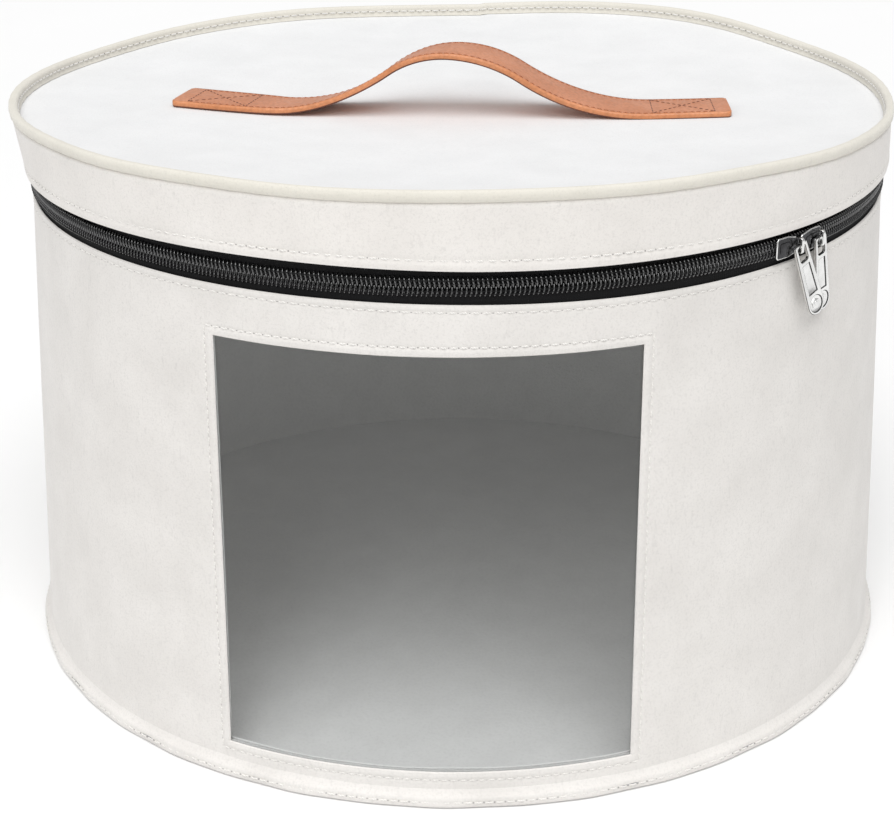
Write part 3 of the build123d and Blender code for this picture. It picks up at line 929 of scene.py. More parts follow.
def lid_rim():
    """Upstanding rim seam with its inner row of stitches, and the stitches at the band's hem."""
    foot, top = LID_SURFACE, RIM_TOP
    rise = top - foot
    outer, inner = RIM_RADIUS, RIM_INNER
    profile = np.array([
        (outer - 2.2 * MM, foot + 0.4 * MM), (outer - 1.0 * MM, foot + 0.8 * MM),
        (outer - 0.3 * MM, foot + 0.30 * rise), (outer, foot + 0.55 * rise),
        (outer - 0.1 * MM, foot + 0.80 * rise), (outer - 0.6 * MM, top - 0.35 * MM),
        (outer - 1.5 * MM, top), (inner + 1.3 * MM, top - 0.1 * MM),
        (inner + 0.4 * MM, top - 0.6 * MM), (inner + 0.05 * MM, foot + 0.72 * rise),
        (inner + 0.25 * MM, foot + 0.48 * rise), (inner + 0.1 * MM, foot + 0.25 * rise),
        (inner - 0.6 * MM, foot + 0.05 * MM), (inner + 0.4 * MM, foot - 0.5 * MM),
    ])
    turn = bearings(480)[:, None]
    pucker = 0.12 * MM * np.sin(95 * turn + 0.3)
    points = soften_lid(turn, profile[:, 0] + pucker, profile[:, 1] + 0 * turn)
    shape = Shape()
    shape.grid(points, closed=(True, True))
    piece = shape.made("lid_rim_seam", [RIM_FELT])
    finish_piece(piece, "lid", ["lid_rim_binding"], sharp=60)
    seam = foot + 0.48 * rise
    stitches = Shape()
    path, outward = ring_path(lambda t: np.full_like(t, inner + 0.1 * MM), seam, soft=soften_lid)
    stitch_row(stitches, path, -outward, hole_shade_number=1)
    hem = BAND_HEM + HEM_STITCH_INSET
    radius = band_radius(hem) + STITCH_LEVEL
    path, outward = ring_path(lambda t: np.full_like(t, radius), hem, soft=soften_lid)
    path[:, 2] += (1 - lid_share(hem)) * band_hem_lift(bearings(len(path)))
    stitch_row(stitches, path, outward, hole_shade_number=1)
    piece = stitches.made("lid_stitching", [CREAM_THREAD, NEEDLE_HOLE_SHADE])
    finish_piece(piece, "lid")


def lid_band_lining():
    piece, (girth, tall) = lid_ring(
        "lid_band_lining", "lid_band_lining_cloth", LINING, rumple=0.35 * MM
    )
    low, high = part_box("lid_band_lining")
    tall + mean_stretch(low.z, high.z)


def lid_hoop_sleeve():
    radius = node_edge("lid_hoop", False)[0] - 1.2 * MM
    low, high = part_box("lid_hoop")
    height = (low[2] + high[2]) / 2
    turn = bearings(240)
    reach = radius - 0.6 * MM
    give = (reach / RIM_RADIUS) ** 4 * rim_give(turn)
    shape = Shape()
    shape.tube(at(turn, reach + give, height + lid_level(turn, reach)), 1.7 * MM, sides=12, closed=True)
    piece = shape.made("lid_hoop_sleeve", [LINING])
    finish_piece(piece, "lid", ["lid_hoop"])


# === Zipper and hinge ============================================================================
ZIP_END = radians(156)
TAPE_END = ZIP_END + 2 * 3 * MM / COIL_RADIUS


def arc_strip(shape, profile, end, middle=0.0, steps=480, soft=None):
    """A closed profile of (radius, height) swept from middle - end to middle + end, with its ends capped."""
    turn = np.linspace(middle - end, middle + end, steps)[:, None]
    radius = np.broadcast_to(profile[:, 0], (steps, len(profile)))
    height = np.broadcast_to(profile[:, 1], radius.shape)
    points = soft(turn, radius, height) if soft else at(turn, radius, height)
    shape.grid(points, closed=(False, True))
    for level in (points[0], points[-1]):
        shape.add(level, [list(range(len(profile)))], [[(0, 0)] * len(profile)])


def zip_tape(name, node, body, sewn_edge, teeth_edge, sewn_radius, soft=None):
    """Woven tape from its sewn edge, under the felt, to a beaded edge under the coil."""
    face = TAPE_RADIUS - 0.05 * MM
    bend = teeth_edge + (sewn_edge - teeth_edge) * 0.42
    rows = np.linspace(teeth_edge, bend, 10)
    outer = [(face, z) for z in rows] + [(sewn_radius, sewn_edge)]
    inner = [(r - TAPE_THICKNESS, z) for r, z in reversed(outer)]
    shape = Shape()
    arc_strip(shape, np.array(outer + inner), TAPE_END, soft=soft)
    piece = shape.made(name, [TAPE])
    finish_piece(piece, body, [node], sharp=60)


def zip_tapes():
    lower_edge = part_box("lower_zip_tape")
    upper_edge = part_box("upper_zip_tape")
    hidden = wall_radius(lower_edge[0][2]) - FELT - GLUE_LINE
    zip_tape("lower_tape_cloth", "lower_zip_tape", "box", lower_edge[0][2], lower_edge[1][2], hidden)
    sewn, teeth = upper_edge[1][2], upper_edge[0][2]
    hidden = band_radius(sewn) - FELT - GLUE_LINE
    zip_tape("upper_tape_cloth", "upper_zip_tape", "lid", sewn, teeth, hidden, soft=soften_lid)


def tooth_points(side):
    """One turn of the coil as (along, outward, towards the other tape) from the chain's middle."""
    line = np.array([
        (-0.62, 0.35, -4.1), (-0.55, 1.30, -4.0), (-0.30, 1.95, -3.1), (-0.05, 2.05, -1.6),
        (0.00, 1.85, -0.2), (0.00, 1.30, 0.65), (0.10, 0.75, -0.3), (0.40, 0.45, -3.0),
    ]) * MM
    return line * (1, 1, side)


def zip_coil(name, node, body, side, phase):
    """A row of coil turns; side is 1 for the lower row, whose heads point up, and -1 for the upper."""
    line = tooth_points(side)
    count = round(2 * ZIP_END * COIL_RADIUS / TOOTH_PITCH)
    step = 2 * ZIP_END / count
    base = TAPE_RADIUS + 0.05 * MM
    shape = Shape()
    girth = TOOTH_WIRE * np.array((0.9, 1.05, 1.15, 1.1, 1.05, 1.1, 0.9, 0.8))
    for k in range(count):
        bearing = -ZIP_END + (k + phase) * step
        points = at(bearing + line[:, 0] / COIL_RADIUS, base + line[:, 1] - 0.35 * MM, CHAIN + line[:, 2])
        shape.tube(points, girth, sides=6)
    for height, lift in ((3.0 * MM, 0.15 * MM), (1.55 * MM, 0.12 * MM)):
        turn = np.linspace(-ZIP_END, ZIP_END, 1400)
        wave = lift * np.sin(turn / step * FULL)
        cord = at(turn, COIL_RADIUS - 0.05 * MM + wave, CHAIN - side * height)
        shape.tube(cord, 0.22 * MM, sides=6, number=1)
    piece = shape.made(name, [NYLON, TAPE])
    finish_piece(piece, body, [node], sharp=80)


def zip_coils():
    zip_coil("lower_coil_teeth", "lower_zip_coil", "box", 1, 0.0)
    zip_coil("upper_coil_teeth", "upper_zip_coil", "lid", -1, 0.5)


def hinge_cloth():
    """Felt between the zipper's ends, at the hinge that bends when the lid opens; this piece stays fixed in
    place.
    """
    low, high = HEM - 1.5 * MM, BAND_HEM + 1.5 * MM
    rows = np.linspace(low, high, 15)
    share = (rows - low) / (high - low)
    start = wall_radius(low) - FELT - GLUE_LINE
    end = BAND_FOOT_RADIUS - FELT - GLUE_LINE
    radius = start + (end - start) * share**2 - 0.2 * MM * np.sin(pi * share)
    face = np.stack([radius, rows], 1)
    back = face[::-1] - (1.0 * MM, 0)
    shape = Shape()
    arc_strip(shape, np.concatenate([face, back]), pi - TAPE_END + 4 * MM / COIL_RADIUS, middle=pi, steps=60)
    piece = shape.made("hinge_felt", [WALL_FELT])
    piece.data.set_sharp_from_angle(angle=radians(60))
    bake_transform(piece)
    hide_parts("lower_hinge_strip", "upper_hinge_strip")


# === Metal sliders and pulls =====================================================================
def prism(name, outline, back, front, bevel=0.0, segments=2):
    """A flat piece from an (along, up) outline between two depths, with its edges rounded.

    Depth is measured outward, and the piece faces -Y.
    """
    work = bmesh.new()
    rings = [[work.verts.new((x, -depth, z)) for x, z in outline] for depth in (back, front)]
    count = len(outline)
    work.faces.new(rings[0])
    work.faces.new(rings[1][::-1])
    for k in range(count):
        work.faces.new((rings[0][k], rings[1][k], rings[1][(k + 1) % count], rings[0][(k + 1) % count]))
    bmesh.ops.recalc_face_normals(work, faces=work.faces)
    if bevel:
        sharp = [e for e in work.edges if e.calc_face_angle(0) > radians(35)]
        bmesh.ops.bevel(work, geom=sharp, offset=bevel, segments=segments, affect="EDGES", profile=0.6)
    mesh = bpy.data.meshes.new(name)
    work.to_mesh(mesh)
    work.free()
    mesh.materials.append(NICKEL)
    mesh.materials.append(EDGE_NICKEL_PAINTED_DARK)
    piece = bpy.data.objects.new(name, mesh)
    bpy.context.collection.objects.link(piece)
    return piece


def apply_modifiers(piece):
    shaped = bpy.data.meshes.new_from_object(piece.evaluated_get(bpy.context.evaluated_depsgraph_get()))
    piece.modifiers.clear()
    piece.data = shaped


def cut(piece, tool):
    """Cuts the tool from the piece and removes the tool."""
    modifier = piece.modifiers.new("cut", "BOOLEAN")
    modifier.object = tool
    modifier.operation = "DIFFERENCE"
    modifier.solver = "EXACT"
    apply_modifiers(piece)
    bpy.data.objects.remove(tool)


def rounded_edges(piece, width, segments=2):
    modifier = piece.modifiers.new("edges", "BEVEL")
    modifier.width = width
    modifier.segments = segments
    modifier.limit_method = "ANGLE"
    modifier.angle_limit = radians(50)
    # bevel faces take the piece's second material: bright nickel on a slider's plate is a painted highlight,
    # the dark edge nickel on a pull is painted dark reflection
    modifier.material = 1
    apply_modifiers(piece)


def joined(name, pieces, *materials):
    """One object from several, with its faces and its rounded edges in these materials."""
    shape = bmesh.new()
    for piece in pieces:
        part = piece.data.copy()
        part.transform(piece.matrix_world)
        shape.from_mesh(part)
        bpy.data.objects.remove(piece)
    mesh = bpy.data.meshes.new(name)
    shape.to_mesh(mesh)
    shape.free()
    for material in materials:
        mesh.materials.append(material)
    piece = bpy.data.objects.new(name, mesh)
    bpy.context.collection.objects.link(piece)
    return piece


def arc_points(middle, radius, start, end, count):
    """Points on an arc, angles in degrees from +X."""
    turn = np.radians(np.linspace(start, end, count))
    return [(middle[0] + radius * cos(t), middle[1] + radius * sin(t)) for t in turn]


def moved(piece, matrix):
    """Moves a piece's mesh to its place."""
    piece.data.transform(matrix)


def along_zipper(slider):
    """Bearing of a slider, from the axis of the joint that carries its pull."""
    axis = next(joint for joint in frame["joints"] if joint["parent"] == slider)["axis"]
    return atan2(-axis[1], -axis[0])


def outward_reach(node, bearing):
    """How far a node reaches outward along a bearing."""
    points = node_points(node)
    return float((points[:, 0] * sin(bearing) - points[:, 1] * cos(bearing)).max())


def slider(side, facing):
    """Two plates, a raised step on the front one, the post between them, and the bridge."""
    node = f"slider_{side}"
    bearing = along_zipper(node)
    front = outward_reach(node, bearing)
    place = Matrix.Rotation(bearing, 4, "Z") @ Matrix.Translation((0, -(front - SLIDER_PLATE), CHAIN))
    half, tall, nose = SLIDER_LENGTH / 2, SLIDER_HEIGHT / 2, SLIDER_NOSE / 2
    corner = SLIDER_CORNER
    lower = [(-half, -tall + corner), (-half + corner, -tall), (0, -tall), (half - corner, -nose),
             (half, -nose + 0.8 * corner)]
    outline = lower + [(x, -z) for x, z in reversed(lower)]
    facing_outline = [(x * facing, z) for x, z in outline]
    plate = prism("plate", facing_outline, 0, SLIDER_PLATE)
    rounded_edges(plate, METAL_ROUNDING, segments=3)
    step = [(x * 0.62 * facing - 0.6 * MM * facing, z * 0.5) for x, z in outline]
    raised = prism("raised", step, SLIDER_PLATE - 0.1 * MM, SLIDER_PLATE + 0.30 * MM, bevel=0.25 * MM)
    depth = SLIDER_BACK
    back = prism("back", facing_outline, -depth - SLIDER_PLATE, -depth, bevel=0.35 * MM)
    wedge = [(1 * MM, -0.3 * MM), (6 * MM, -0.3 * MM), (6.6 * MM, 0), (6 * MM, 0.3 * MM), (1 * MM, 0.3 * MM)]
    wedge = [(-half * facing + x * facing, z) for x, z in wedge]
    post = prism("post", wedge, -depth - 0.1 * MM, 0.1 * MM)
    # the second material, bright nickel, lands on the plate's rounded edges as a painted highlight along the
    # black slider
    body = joined(f"{node}_body", [plate, raised, back, post], DARK_NICKEL, NICKEL)
    moved(body, place)
    finish_piece(body, node, [node], sharp=35)
    pivot = np.array(pull_joint(f"pull_{side}")["pos_m"])
    offset = float(pivot @ (cos(bearing), sin(bearing), 0))
    arch = prism("arch", arch_outline(), -BRIDGE_WIDTH / 2, BRIDGE_WIDTH / 2, bevel=0.28 * MM, segments=3)
    arch = joined(f"{node}_bridge_arch", [arch], NICKEL)
    turn = Matrix.Translation((offset, -SLIDER_PLATE, 0)) @ Matrix.Rotation(-pi / 2, 4, "Z")
    moved(arch, place @ turn)
    finish_piece(arch, node, [f"{node}_bridge"], sharp=35)


def arch_outline():
    """Side view of the bridge: (outward from the plate, up)."""
    tall, rise, bar = BRIDGE_HEIGHT / 2, BRIDGE_RISE, BRIDGE_BAR
    outer = arc_points((rise - 1.3 * MM, -tall + 1.3 * MM), 1.3 * MM, -90, 0, 5)
    outer += arc_points((rise - 1.3 * MM, tall - 1.3 * MM), 1.3 * MM, 0, 90, 5)
    inner = arc_points((rise - bar - 0.6 * MM, tall - bar - 0.6 * MM), 0.6 * MM, 90, 0, 4)
    inner += arc_points((rise - bar - 0.6 * MM, -tall + bar + 0.6 * MM), 0.6 * MM, 0, -90, 4)
    foot = -0.3 * MM
    return (
        [(foot, -tall)] + outer + [(foot, tall), (foot, tall - bar)] + inner + [(foot, -tall + bar)]
    )


def pull_joint(pull):
    """The joint that turns a pull on its bridge."""
    return next(joint for joint in frame["joints"] if joint["child"] == pull)


def pull_tab():
    """Tab with a slot, a recess with a rim, and a raised six-sided boss in its round end.

    It hangs from the origin, the middle of its bar, and its face looks along -Y.
    """
    bar = PULL_THICKNESS / 2
    end_radius = PULL_END / 2
    straight = PULL_LENGTH - end_radius - bar
    half = PULL_THICKNESS / 2
    top = PULL_TOP / 2
    body = [(top - 0.5 * MM, bar), (top, bar - 0.5 * MM)]
    body += arc_points((0, -straight), end_radius, 0, -180, 19)
    body += [(-top, bar - 0.5 * MM), (-top + 0.5 * MM, bar)]
    tab = prism("tab", body, -half, half)
    slot_half = PULL_SLOT / 2
    slot_low = -bar - PULL_SLOT_LENGTH
    slot = arc_points((-slot_half + 0.8 * MM, -bar - 0.8 * MM), 0.8 * MM, 180, 90, 4)
    slot += arc_points((slot_half - 0.8 * MM, -bar - 0.8 * MM), 0.8 * MM, 90, 0, 4)
    slot += arc_points((slot_half - 1.2 * MM, slot_low + 1.2 * MM), 1.2 * MM, 0, -90, 4)
    slot += arc_points((-slot_half + 1.2 * MM, slot_low + 1.2 * MM), 1.2 * MM, -90, -180, 4)
    cut(tab, prism("slot", slot, -2 * half, 2 * half))
    recess_high = slot_low - 2.0 * MM
    recess_low = -straight + 5.6 * MM
    recess = [(-2.3 * MM, recess_high), (2.3 * MM, recess_high), (2.75 * MM, recess_low),
              (-2.75 * MM, recess_low)]
    cut(tab, prism("recess", recess, half - 0.45 * MM, 2 * half))
    bowl = arc_points((0, -straight), end_radius - 1.2 * MM, 0, 345, 24)
    cut(tab, prism("bowl", bowl, half - 0.4 * MM, 2 * half))
    rounded_edges(tab, METAL_ROUNDING)
    boss = prism("boss", arc_points((0, -straight), 2.5 * MM, 30, 330, 6), half - 0.5 * MM,
                 half - 0.05 * MM, bevel=0.2 * MM)
    stud = prism("stud", arc_points((0, -straight), 1.15 * MM, 0, 345, 24), half - 0.1 * MM,
                 half + 0.12 * MM, bevel=0.1 * MM)
    return [tab, boss, stud]


def pull(side):
    node = f"pull_{side}"
    joint = pull_joint(node)
    axis = joint["axis"]
    pivot = Vector(joint["pos_m"])
    hang = (
        Matrix.Translation(pivot) @ Matrix.Rotation(atan2(-axis[1], -axis[0]), 4, "Z")
        @ Matrix.Rotation(asin(axis[2]), 4, "Y")
    )
    points = node_points(node)
    distance = np.linalg.norm(points - np.array(pivot), axis=1)
    tip = hang.inverted() @ Vector(points[distance > 0.995 * distance.max()].mean(0))
    # the tab's rounded edges take the dark edge nickel: painted dark reflections outlining the bright pull
    piece = joined(f"{node}_tab", pull_tab(), NICKEL, EDGE_NICKEL_PAINTED_DARK)
    moved(piece, hang @ Matrix.Rotation(-atan2(-tip.y, -tip.z), 4, "X"))
    finish_piece(piece, node, [node], sharp=35)


def zip_stops():
    """Metal clips that close the zipper's two ends."""
    for side in ("left", "right"):
        node = f"zip_stop_{side}"
        low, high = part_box(node)
        middle = (low + high) / 2
        bearing = atan2(middle.x, -middle.y)
        front = outward_reach(node, bearing)
        tall = (high.z - low.z) / 2
        outline = [(-1.4 * MM, -tall), (1.4 * MM, -tall), (1.4 * MM, tall), (-1.4 * MM, tall)]
        clip = prism("clip", outline, -2.2 * MM, 0, bevel=0.5 * MM, segments=3)
        clip = joined(f"{node}_clip", [clip], DARK_NICKEL)
        moved(clip, Matrix.Rotation(bearing, 4, "Z") @ Matrix.Translation((0, -front, middle.z)))
        finish_piece(clip, "box", [node], sharp=35)


# === Strap handle ================================================================================
def strap_line(count):
    """Middle line of the strap as (x, height above the tabs) with the upward normal at each point."""
    low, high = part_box("handle_strap")
    half_length = (high.x - low.x) / 2
    rise = high.z - low.z - STRAP_THICKNESS
    half_span = STRAP_SPAN / 2
    turn = 2 * atan2(rise, half_span)
    foot_radius = half_span / sin(turn) - STRAP_CROWN_RADIUS
    x = np.linspace(-half_length, half_length, count)
    edge = STRAP_CROWN_RADIUS * sin(turn)
    reach = np.abs(x) * np.where(x > 0, 1 / STRAP_RIGHT_STRETCH, 1)
    crown = rise - STRAP_CROWN_RADIUS + np.sqrt(np.maximum(STRAP_CROWN_RADIUS**2 - reach**2, 0))
    foot = foot_radius - np.sqrt(np.maximum(foot_radius**2 - (half_span - reach) ** 2, 0))
    z = np.where(reach < edge, crown, np.where(reach < half_span, foot, 0))
    slope = np.gradient(z, x)
    normal = np.stack([-slope, np.zeros_like(x), np.ones_like(x)], 1)
    return x, z, normal / np.linalg.norm(normal, axis=1)[:, None]


def strap_roll(x):
    """How the soft strap twists along its length, in radians: the near edge stands up left of the crown."""
    return np.radians(-10 * hump(x, -42 * MM, 34 * MM) + 4 * hump(x, 40 * MM, 46 * MM))


def strap_swerve(x):
    """Backward shift of the strap, whose tabs are sewn on a little askew, most of all the left one."""
    def ramp(distance):
        return (np.sqrt(distance**2 + (5 * MM) ** 2) + distance) / 2

    return 0.20 * ramp(-x - 88 * MM) + 0.05 * ramp(x - 90 * MM)


def strap_place(x, across, above):
    """Points on the strap at x from its middle, across it and above its middle line."""
    line_x, line_z, normals = strap_line(600)
    normal = np.stack([np.interp(x, line_x, normals[:, k]) for k in range(3)], -1)
    low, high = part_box("handle_strap")
    middle_x, middle_y = (low.x + high.x) / 2 + x, (low.y + high.y) / 2 + strap_swerve(x)
    rise = np.interp(x, line_x, line_z)
    free = rise / line_z.max()
    sag = lid_level(np.arctan2(middle_x, -middle_y), np.hypot(middle_x, middle_y))
    level = low.z + STRAP_THICKNESS / 2 + rise + (1 - free) * sag + 0.8 * MM * free
    roll = strap_roll(x)
    askew = -(strap_swerve(x + 0.5 * MM) - strap_swerve(x - 0.5 * MM)) / (1 * MM)
    side = np.stack([askew, np.cos(roll), np.sin(roll)], -1)
    side /= np.linalg.norm(side, axis=1)[:, None]
    over = np.stack([normal[:, 0], -np.sin(roll) * normal[:, 2], np.cos(roll) * normal[:, 2]], -1)
    return np.stack([middle_x, middle_y, level], -1) + side * across[:, None] + over * above[:, None]


def strap():
    x, _, _ = strap_line(221)
    low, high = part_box("handle_strap")
    half = (high.y - low.y) / 2
    end = (high.x - low.x) / 2
    near_end = np.clip(STRAP_CORNER - (end - np.abs(x)), 0, STRAP_CORNER)
    shrink = STRAP_CORNER - np.sqrt(np.maximum(STRAP_CORNER**2 - near_end**2, 0))
    t = STRAP_THICKNESS / 2
    section = [
        (-1, -1.5, -t), (-1, -0.35, -t), (-1, 0, -t * 0.55), (-1, 0, t * 0.45), (-1, -0.45, t * 0.92),
        (-1, -1.3, t), (-1, -2.4, t * 0.86), (-1, -3.6, t), (0, 0, t * 1.03), (1, -3.6, t),
        (1, -2.4, t * 0.86), (1, -1.3, t), (1, -0.45, t * 0.92), (1, 0, t * 0.45), (1, 0, -t * 0.55),
        (1, -0.35, -t), (1, -1.5, -t),
    ]
    rows = []
    for side, inset, above in section:
        across = side * (half + inset * MM - shrink)
        rows.append(strap_place(x, across, np.full_like(x, above)))
    points = np.stack(rows, 1)
    shape = Shape()
    # the dark sides (1) and the burnished edges (2) of the section, the edges partly real edge paint and
    # partly painted shade: the near side's lower edge stands for the shadow line under the strap, while its
    # upper edge keeps the side's colour; the other faces are the grain side
    paint = {1: 2, 2: 1, 3: 1, 4: 1, 11: 2, 12: 1, 13: 1, 14: 2}
    for j in range(len(section)):
        shape.grid(points[:, [j, (j + 1) % len(section)]], number=paint.get(j, 0))
    for level in (points[0], points[-1]):
        shape.add(level, [list(range(len(section)))], [[(0, 0)] * len(section)], number=2)
    piece = shape.made("handle_strap_leather", [TAN, TAN_SIDE, TAN_EDGE_PAINT_AND_SHADE])
    finish_piece(piece, "lid", ["handle_strap"], sharp=70)
    strap_stitches(half)


def strap_stitches(half):
    """Fine rows along both edges and a crossed box on each stitched tab."""
    shape = Shape()
    face = STRAP_THICKNESS / 2 - 0.12 * MM
    reach = STRAP_BOX[1]

    def row(x, across, number=0):
        x, across = np.asarray(x, float), np.asarray(across, float)
        path = strap_place(x, across, np.full_like(x, face))
        outward = strap_place(x, across, np.full_like(x, face + 1 * MM)) - path
        stitch_row(shape, path, outward, number=number, pitch=3.2 * MM, length=2.6 * MM,
                   radius=0.3 * MM, closed=False)

    for side in (-1, 1):
        line = np.linspace(-reach, reach, 200)
        row(line, np.full_like(line, side * (half - STRAP_STITCH_INSET)))
    near, far = STRAP_BOX
    edge = half - STRAP_STITCH_INSET
    cross = np.linspace(0, 1, 20)
    for side in (-1, 1):
        for x in (near, far):
            row(np.full(20, side * x), edge * (2 * cross - 1), number=1)
        for slope in (-1, 1):
            row(side * (near + (far - near) * cross), slope * edge * (2 * cross - 1), number=1)
    piece = shape.made("handle_stitching", [TAN_THREAD, DARK_THREAD])
    finish_piece(piece, "lid")


def handle_backing():
    """Cloth patches inside the lid that take the strap's stitches."""
    low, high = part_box("handle_backing")
    middle = (low.y + high.y) / 2
    half = (high.y - low.y) / 2
    patch = Shape()
    thread_rows = Shape()
    for side in (-1, 1):
        points = node_points("handle_backing")
        x = points[points[:, 0] * side > 0][:, 0]
        line_x = np.linspace(x.min(), x.max(), 12)
        line_y = np.linspace(middle - half, middle + half, 12)
        grid_x, grid_y = np.meshgrid(line_x, line_y, indexing="ij")
        level = lid_level(np.arctan2(grid_x, -grid_y), np.hypot(grid_x, grid_y))
        sag = 0.2 * MM * np.cos(grid_x / (6 * MM)) * np.cos(grid_y / (7 * MM))
        under = np.stack([grid_x, grid_y, low.z - 0.2 * MM + sag + level], -1)
        over = np.stack([grid_x, grid_y, high.z + level], -1)
        patch.grid(under)
        patch.grid(over)
        for level in (0, -1):
            patch.grid(np.stack([under[level], over[level]], 1))
            patch.grid(np.stack([under[:, level], over[:, level]], 1))
        west, east = x.min() + PATCH_STITCH_INSET, x.max() - PATCH_STITCH_INSET
        south, north = middle - half + PATCH_STITCH_INSET, middle + half - PATCH_STITCH_INSET
        corners = [(west, south), (east, south), (east, north), (west, north)]
        for start, end in zip(corners, corners[1:] + corners[:1]):
            path = np.linspace((*start, low.z - 0.35 * MM), (*end, low.z - 0.35 * MM), 12)
            path[:, 2] += lid_level(np.arctan2(path[:, 0], -path[:, 1]), np.hypot(*path[:, :2].T))
            stitch_row(thread_rows, path, np.tile((0, 0, -1.0), (12, 1)), closed=False)
    piece = patch.made("handle_backing_patches", [LINING])
    finish_piece(piece, "lid", ["handle_backing"], sharp=50)
    piece = thread_rows.made("handle_backing_stitching", [CREAM_THREAD])
    finish_piece(piece, "lid")


# === Round linings, covers and the window's sheet ================================================
def base_sheet(name, node, material):
    """A flat round cloth at the foot of the box, standing for a disc-shaped node."""
    low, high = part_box(node)
    edge = high.x
    rings = refined(2 * MM, edge, 7 * MM, (edge,), 2 * MM, 8 * MM)
    turn = bearings(180)[:, None]
    shape = Shape()
    shape.disc(at(turn, rings, high.z), at(turn, rings, low.z))
    piece = shape.made(name, [material])
    finish_piece(piece, "box", [node], sharp=60)


def window_patch(shape, reach, radius_at, thickness, hole, give):
    """A curved sheet behind the window, with or without the window cut out of it."""
    half = WINDOW_HALF + reach
    x = refined(-half, half, 6 * MM, (-WINDOW_HALF, WINDOW_HALF), 1.5 * MM, 3 * MM)
    z = refined(WINDOW_SILL - reach, WINDOW_HEAD + reach, 6 * MM, (WINDOW_SILL, WINDOW_HEAD),
                1.5 * MM, 3 * MM)
    grid_x, grid_z = np.meshgrid(x, z, indexing="ij")
    radius = radius_at(grid_z)
    turn = np.arcsin(grid_x / radius)
    radius = radius + give(grid_x, grid_z)
    front, back = at(turn, radius, grid_z), at(turn, radius - thickness, grid_z)
    edges = [(0, -1, 0, -1)]
    left, right = (int(np.argmin(np.abs(x - s))) for s in (-WINDOW_HALF, WINDOW_HALF))
    sill, head = (int(np.argmin(np.abs(z - s))) for s in (WINDOW_SILL, WINDOW_HEAD))
    if hole:
        edges.append((left, right, sill, head))

    def in_window(i, j):
        return hole and left <= i < right and sill <= j < head

    shape.grid(front, skip=in_window)
    shape.grid(back, skip=in_window)
    for west, east, south, north in edges:
        span = slice(south, None if north == -1 else north + 1)
        width = slice(west, None if east == -1 else east + 1)
        for column in (west, east):
            shape.grid(np.stack([front[column, span], back[column, span]], 1))
        for row in (south, north):
            shape.grid(np.stack([front[width, row], back[width, row]], 1))


def inner_wall(node):
    """Radius by height of the outside of a curved patch node."""
    points = node_points(node)
    bottom, top = points[:, 2].min(), points[:, 2].max()
    ends = []
    for level in (bottom, top):
        ring = points[np.abs(points[:, 2] - level) < 0.5 * MM]
        ends.append(np.hypot(ring[:, 0], ring[:, 1]).max())
    return lambda z: ends[0] + (ends[1] - ends[0]) * (z - bottom) / (top - bottom)


def window():
    def waves(x, z):
        frame_share = np.clip(1 - (np.abs(x) / WINDOW_HALF) ** 6, 0, 1)
        middle = (WINDOW_SILL + WINDOW_HEAD) / 2
        tall = (WINDOW_HEAD - WINDOW_SILL) / 2
        frame_share = frame_share * np.clip(1 - (np.abs(z - middle) / tall) ** 6, 0, 1)
        return frame_share * MM * (0.5 * np.sin(x / 0.031 + 0.4) * np.cos(z / 0.04) + 0.2 * np.sin(z / 0.017))

    def still(x, z):
        return 0 * x

    pane = Shape()
    window_patch(pane, WINDOW_OVERLAP, inner_wall("window_pane"), PANE_THICKNESS, False, waves)
    piece = pane.made("window_clear_sheet", [CLEAR])
    finish_piece(piece, "box", ["window_pane"], sharp=60)
    tape = Shape()
    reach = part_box("window_seam_tape")[1].x - WINDOW_HALF
    window_patch(tape, reach, inner_wall("window_seam_tape"), WINDOW_TAPE, True, still)
    piece = tape.made("window_binding", [LINING])
    finish_piece(piece, "box", ["window_seam_tape"], sharp=60)


# === Materials for the hidden CAD nodes ==========================================================
def dress(node, material):
    """Gives a CAD node that stays in the model its material."""
    mesh = frame["nodes"][node].data
    mesh.materials.clear()
    mesh.materials.append(material)


# === Floor, light and camera =====================================================================
def studio():
    floor_mesh = bpy.data.meshes.new("floor")
    size = 6.0
    corners = [(-size, -size, 0), (size, -size, 0), (size, size, 0), (-size, size, 0)]
    floor_mesh.from_pydata(corners, [], [(0, 1, 2, 3)])
    surface = Surface("floor_paper", roughness=0.9, Specular_IOR_Level=0.1)
    surface.colour(surface.blend(surface.noise(3, 2), (0.93, 0.93, 0.93), (0.90, 0.90, 0.90)))
    floor_mesh.materials.append(surface.material)
    floor = bpy.data.objects.new("floor", floor_mesh)
    bpy.context.collection.objects.link(floor)
    world = bpy.data.worlds.new("studio")
    world.use_nodes = True
    background = world.node_tree.nodes["Background"]
    background.inputs["Color"].default_value = (1.0, 1.0, 1.0, 1)
    background.inputs["Strength"].default_value = 0.45
    bpy.context.scene.world = world


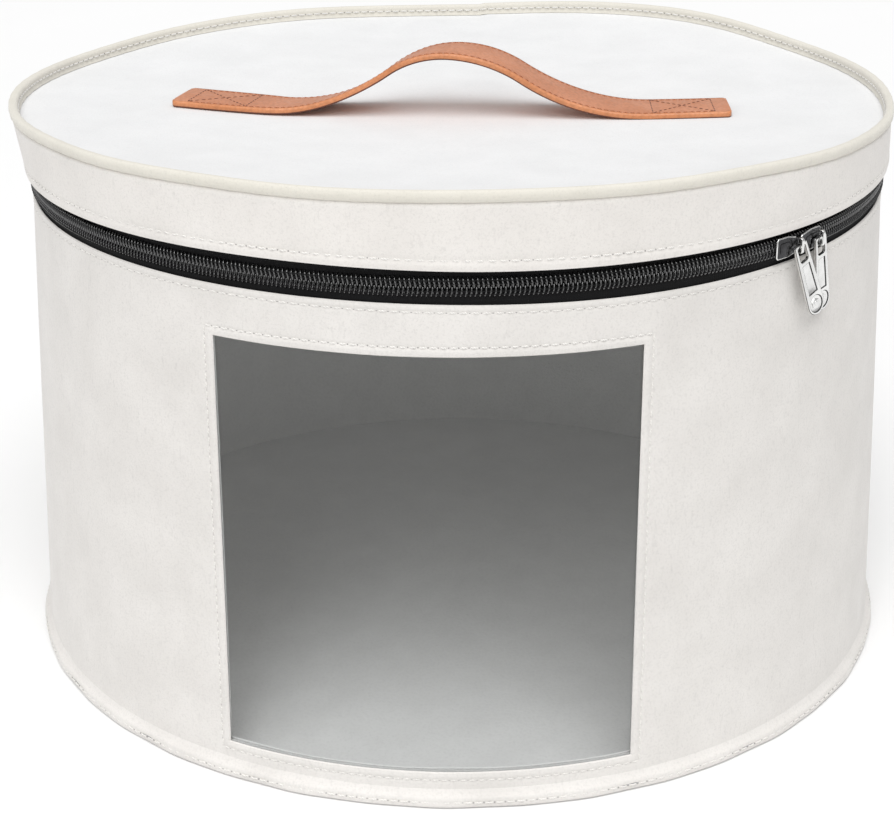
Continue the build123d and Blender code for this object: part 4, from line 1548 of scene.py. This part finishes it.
def sky_lamp(place, power, spread):
    """Even light from one side of the sky, with soft shadows."""
    light = bpy.data.lights.new("sky_lamp", "SUN")
    light.energy = power
    light.angle = radians(spread)
    lamp = bpy.data.objects.new("sky_lamp", light)
    bpy.context.collection.objects.link(lamp)
    lamp.rotation_euler = (-Vector(place)).to_track_quat("-Z", "Y").to_euler()


def softbox(name, place, aim, size, power):
    light = bpy.data.lights.new(name, "AREA")
    light.shape = "RECTANGLE"
    light.size, light.size_y = size
    light.energy = power
    lamp = bpy.data.objects.new(name, light)
    bpy.context.collection.objects.link(lamp)
    lamp.location = place
    lamp.rotation_euler = (Vector(aim) - Vector(place)).to_track_quat("-Z", "Y").to_euler()


def camera():
    """Long lens from above the front, level with the box but for a slight roll."""
    lens = bpy.data.cameras.new("camera")
    lens.lens = CAMERA_LENS
    lens.sensor_width = 36
    lens.sensor_fit = "HORIZONTAL"
    eye = bpy.data.objects.new("camera", lens)
    bpy.context.collection.objects.link(eye)
    turn = (
        Matrix.Rotation(CAMERA_SWING, 4, "Z") @ Matrix.Rotation(pi / 2 - CAMERA_DIP, 4, "X")
        @ Matrix.Rotation(CAMERA_ROLL, 4, "Z")
    )
    eye.matrix_world = Matrix.Translation(CAMERA_PLACE) @ turn
    bpy.context.scene.camera = eye


# === The whole model =============================================================================
def build():
    """Every piece of the box, the lid, the handle and the zipper."""
    wall_cover()
    wall_lining()
    wall_stitches()
    base_seam()
    window()
    base_sheet("base_underside_felt", "base_cover", WALL_FELT)
    base_sheet("base_lining_cloth", "base_lining", LINING)
    lid_layers()
    lid_band()
    lid_rim()
    lid_ring("lid_band_stiffener", "lid_band_board", BOARD)
    lid_band_lining()
    lid_hoop_sleeve()
    handle_backing()
    strap()
    zip_tapes()
    zip_coils()
    zip_stops()
    hinge_cloth()
    for side, facing in (("left", 1), ("right", -1)):
        slider(side, facing)
    for side in ("left", "right"):
        pull(side)
    for hidden in ("base_board", "wall_stiffener"):
        dress(hidden, BOARD)
    dress("base_hoop", STEEL)


build()
studio()
sky_lamp(place=(0.02, -0.42, 1.0), power=2.1, spread=50)
softbox("front", place=(-0.3, -1.9, 1.5), aim=(0, 0, 0.2), size=(0.7, 0.5), power=7)
camera()
bpy.context.scene.view_settings.view_transform = "Standard"
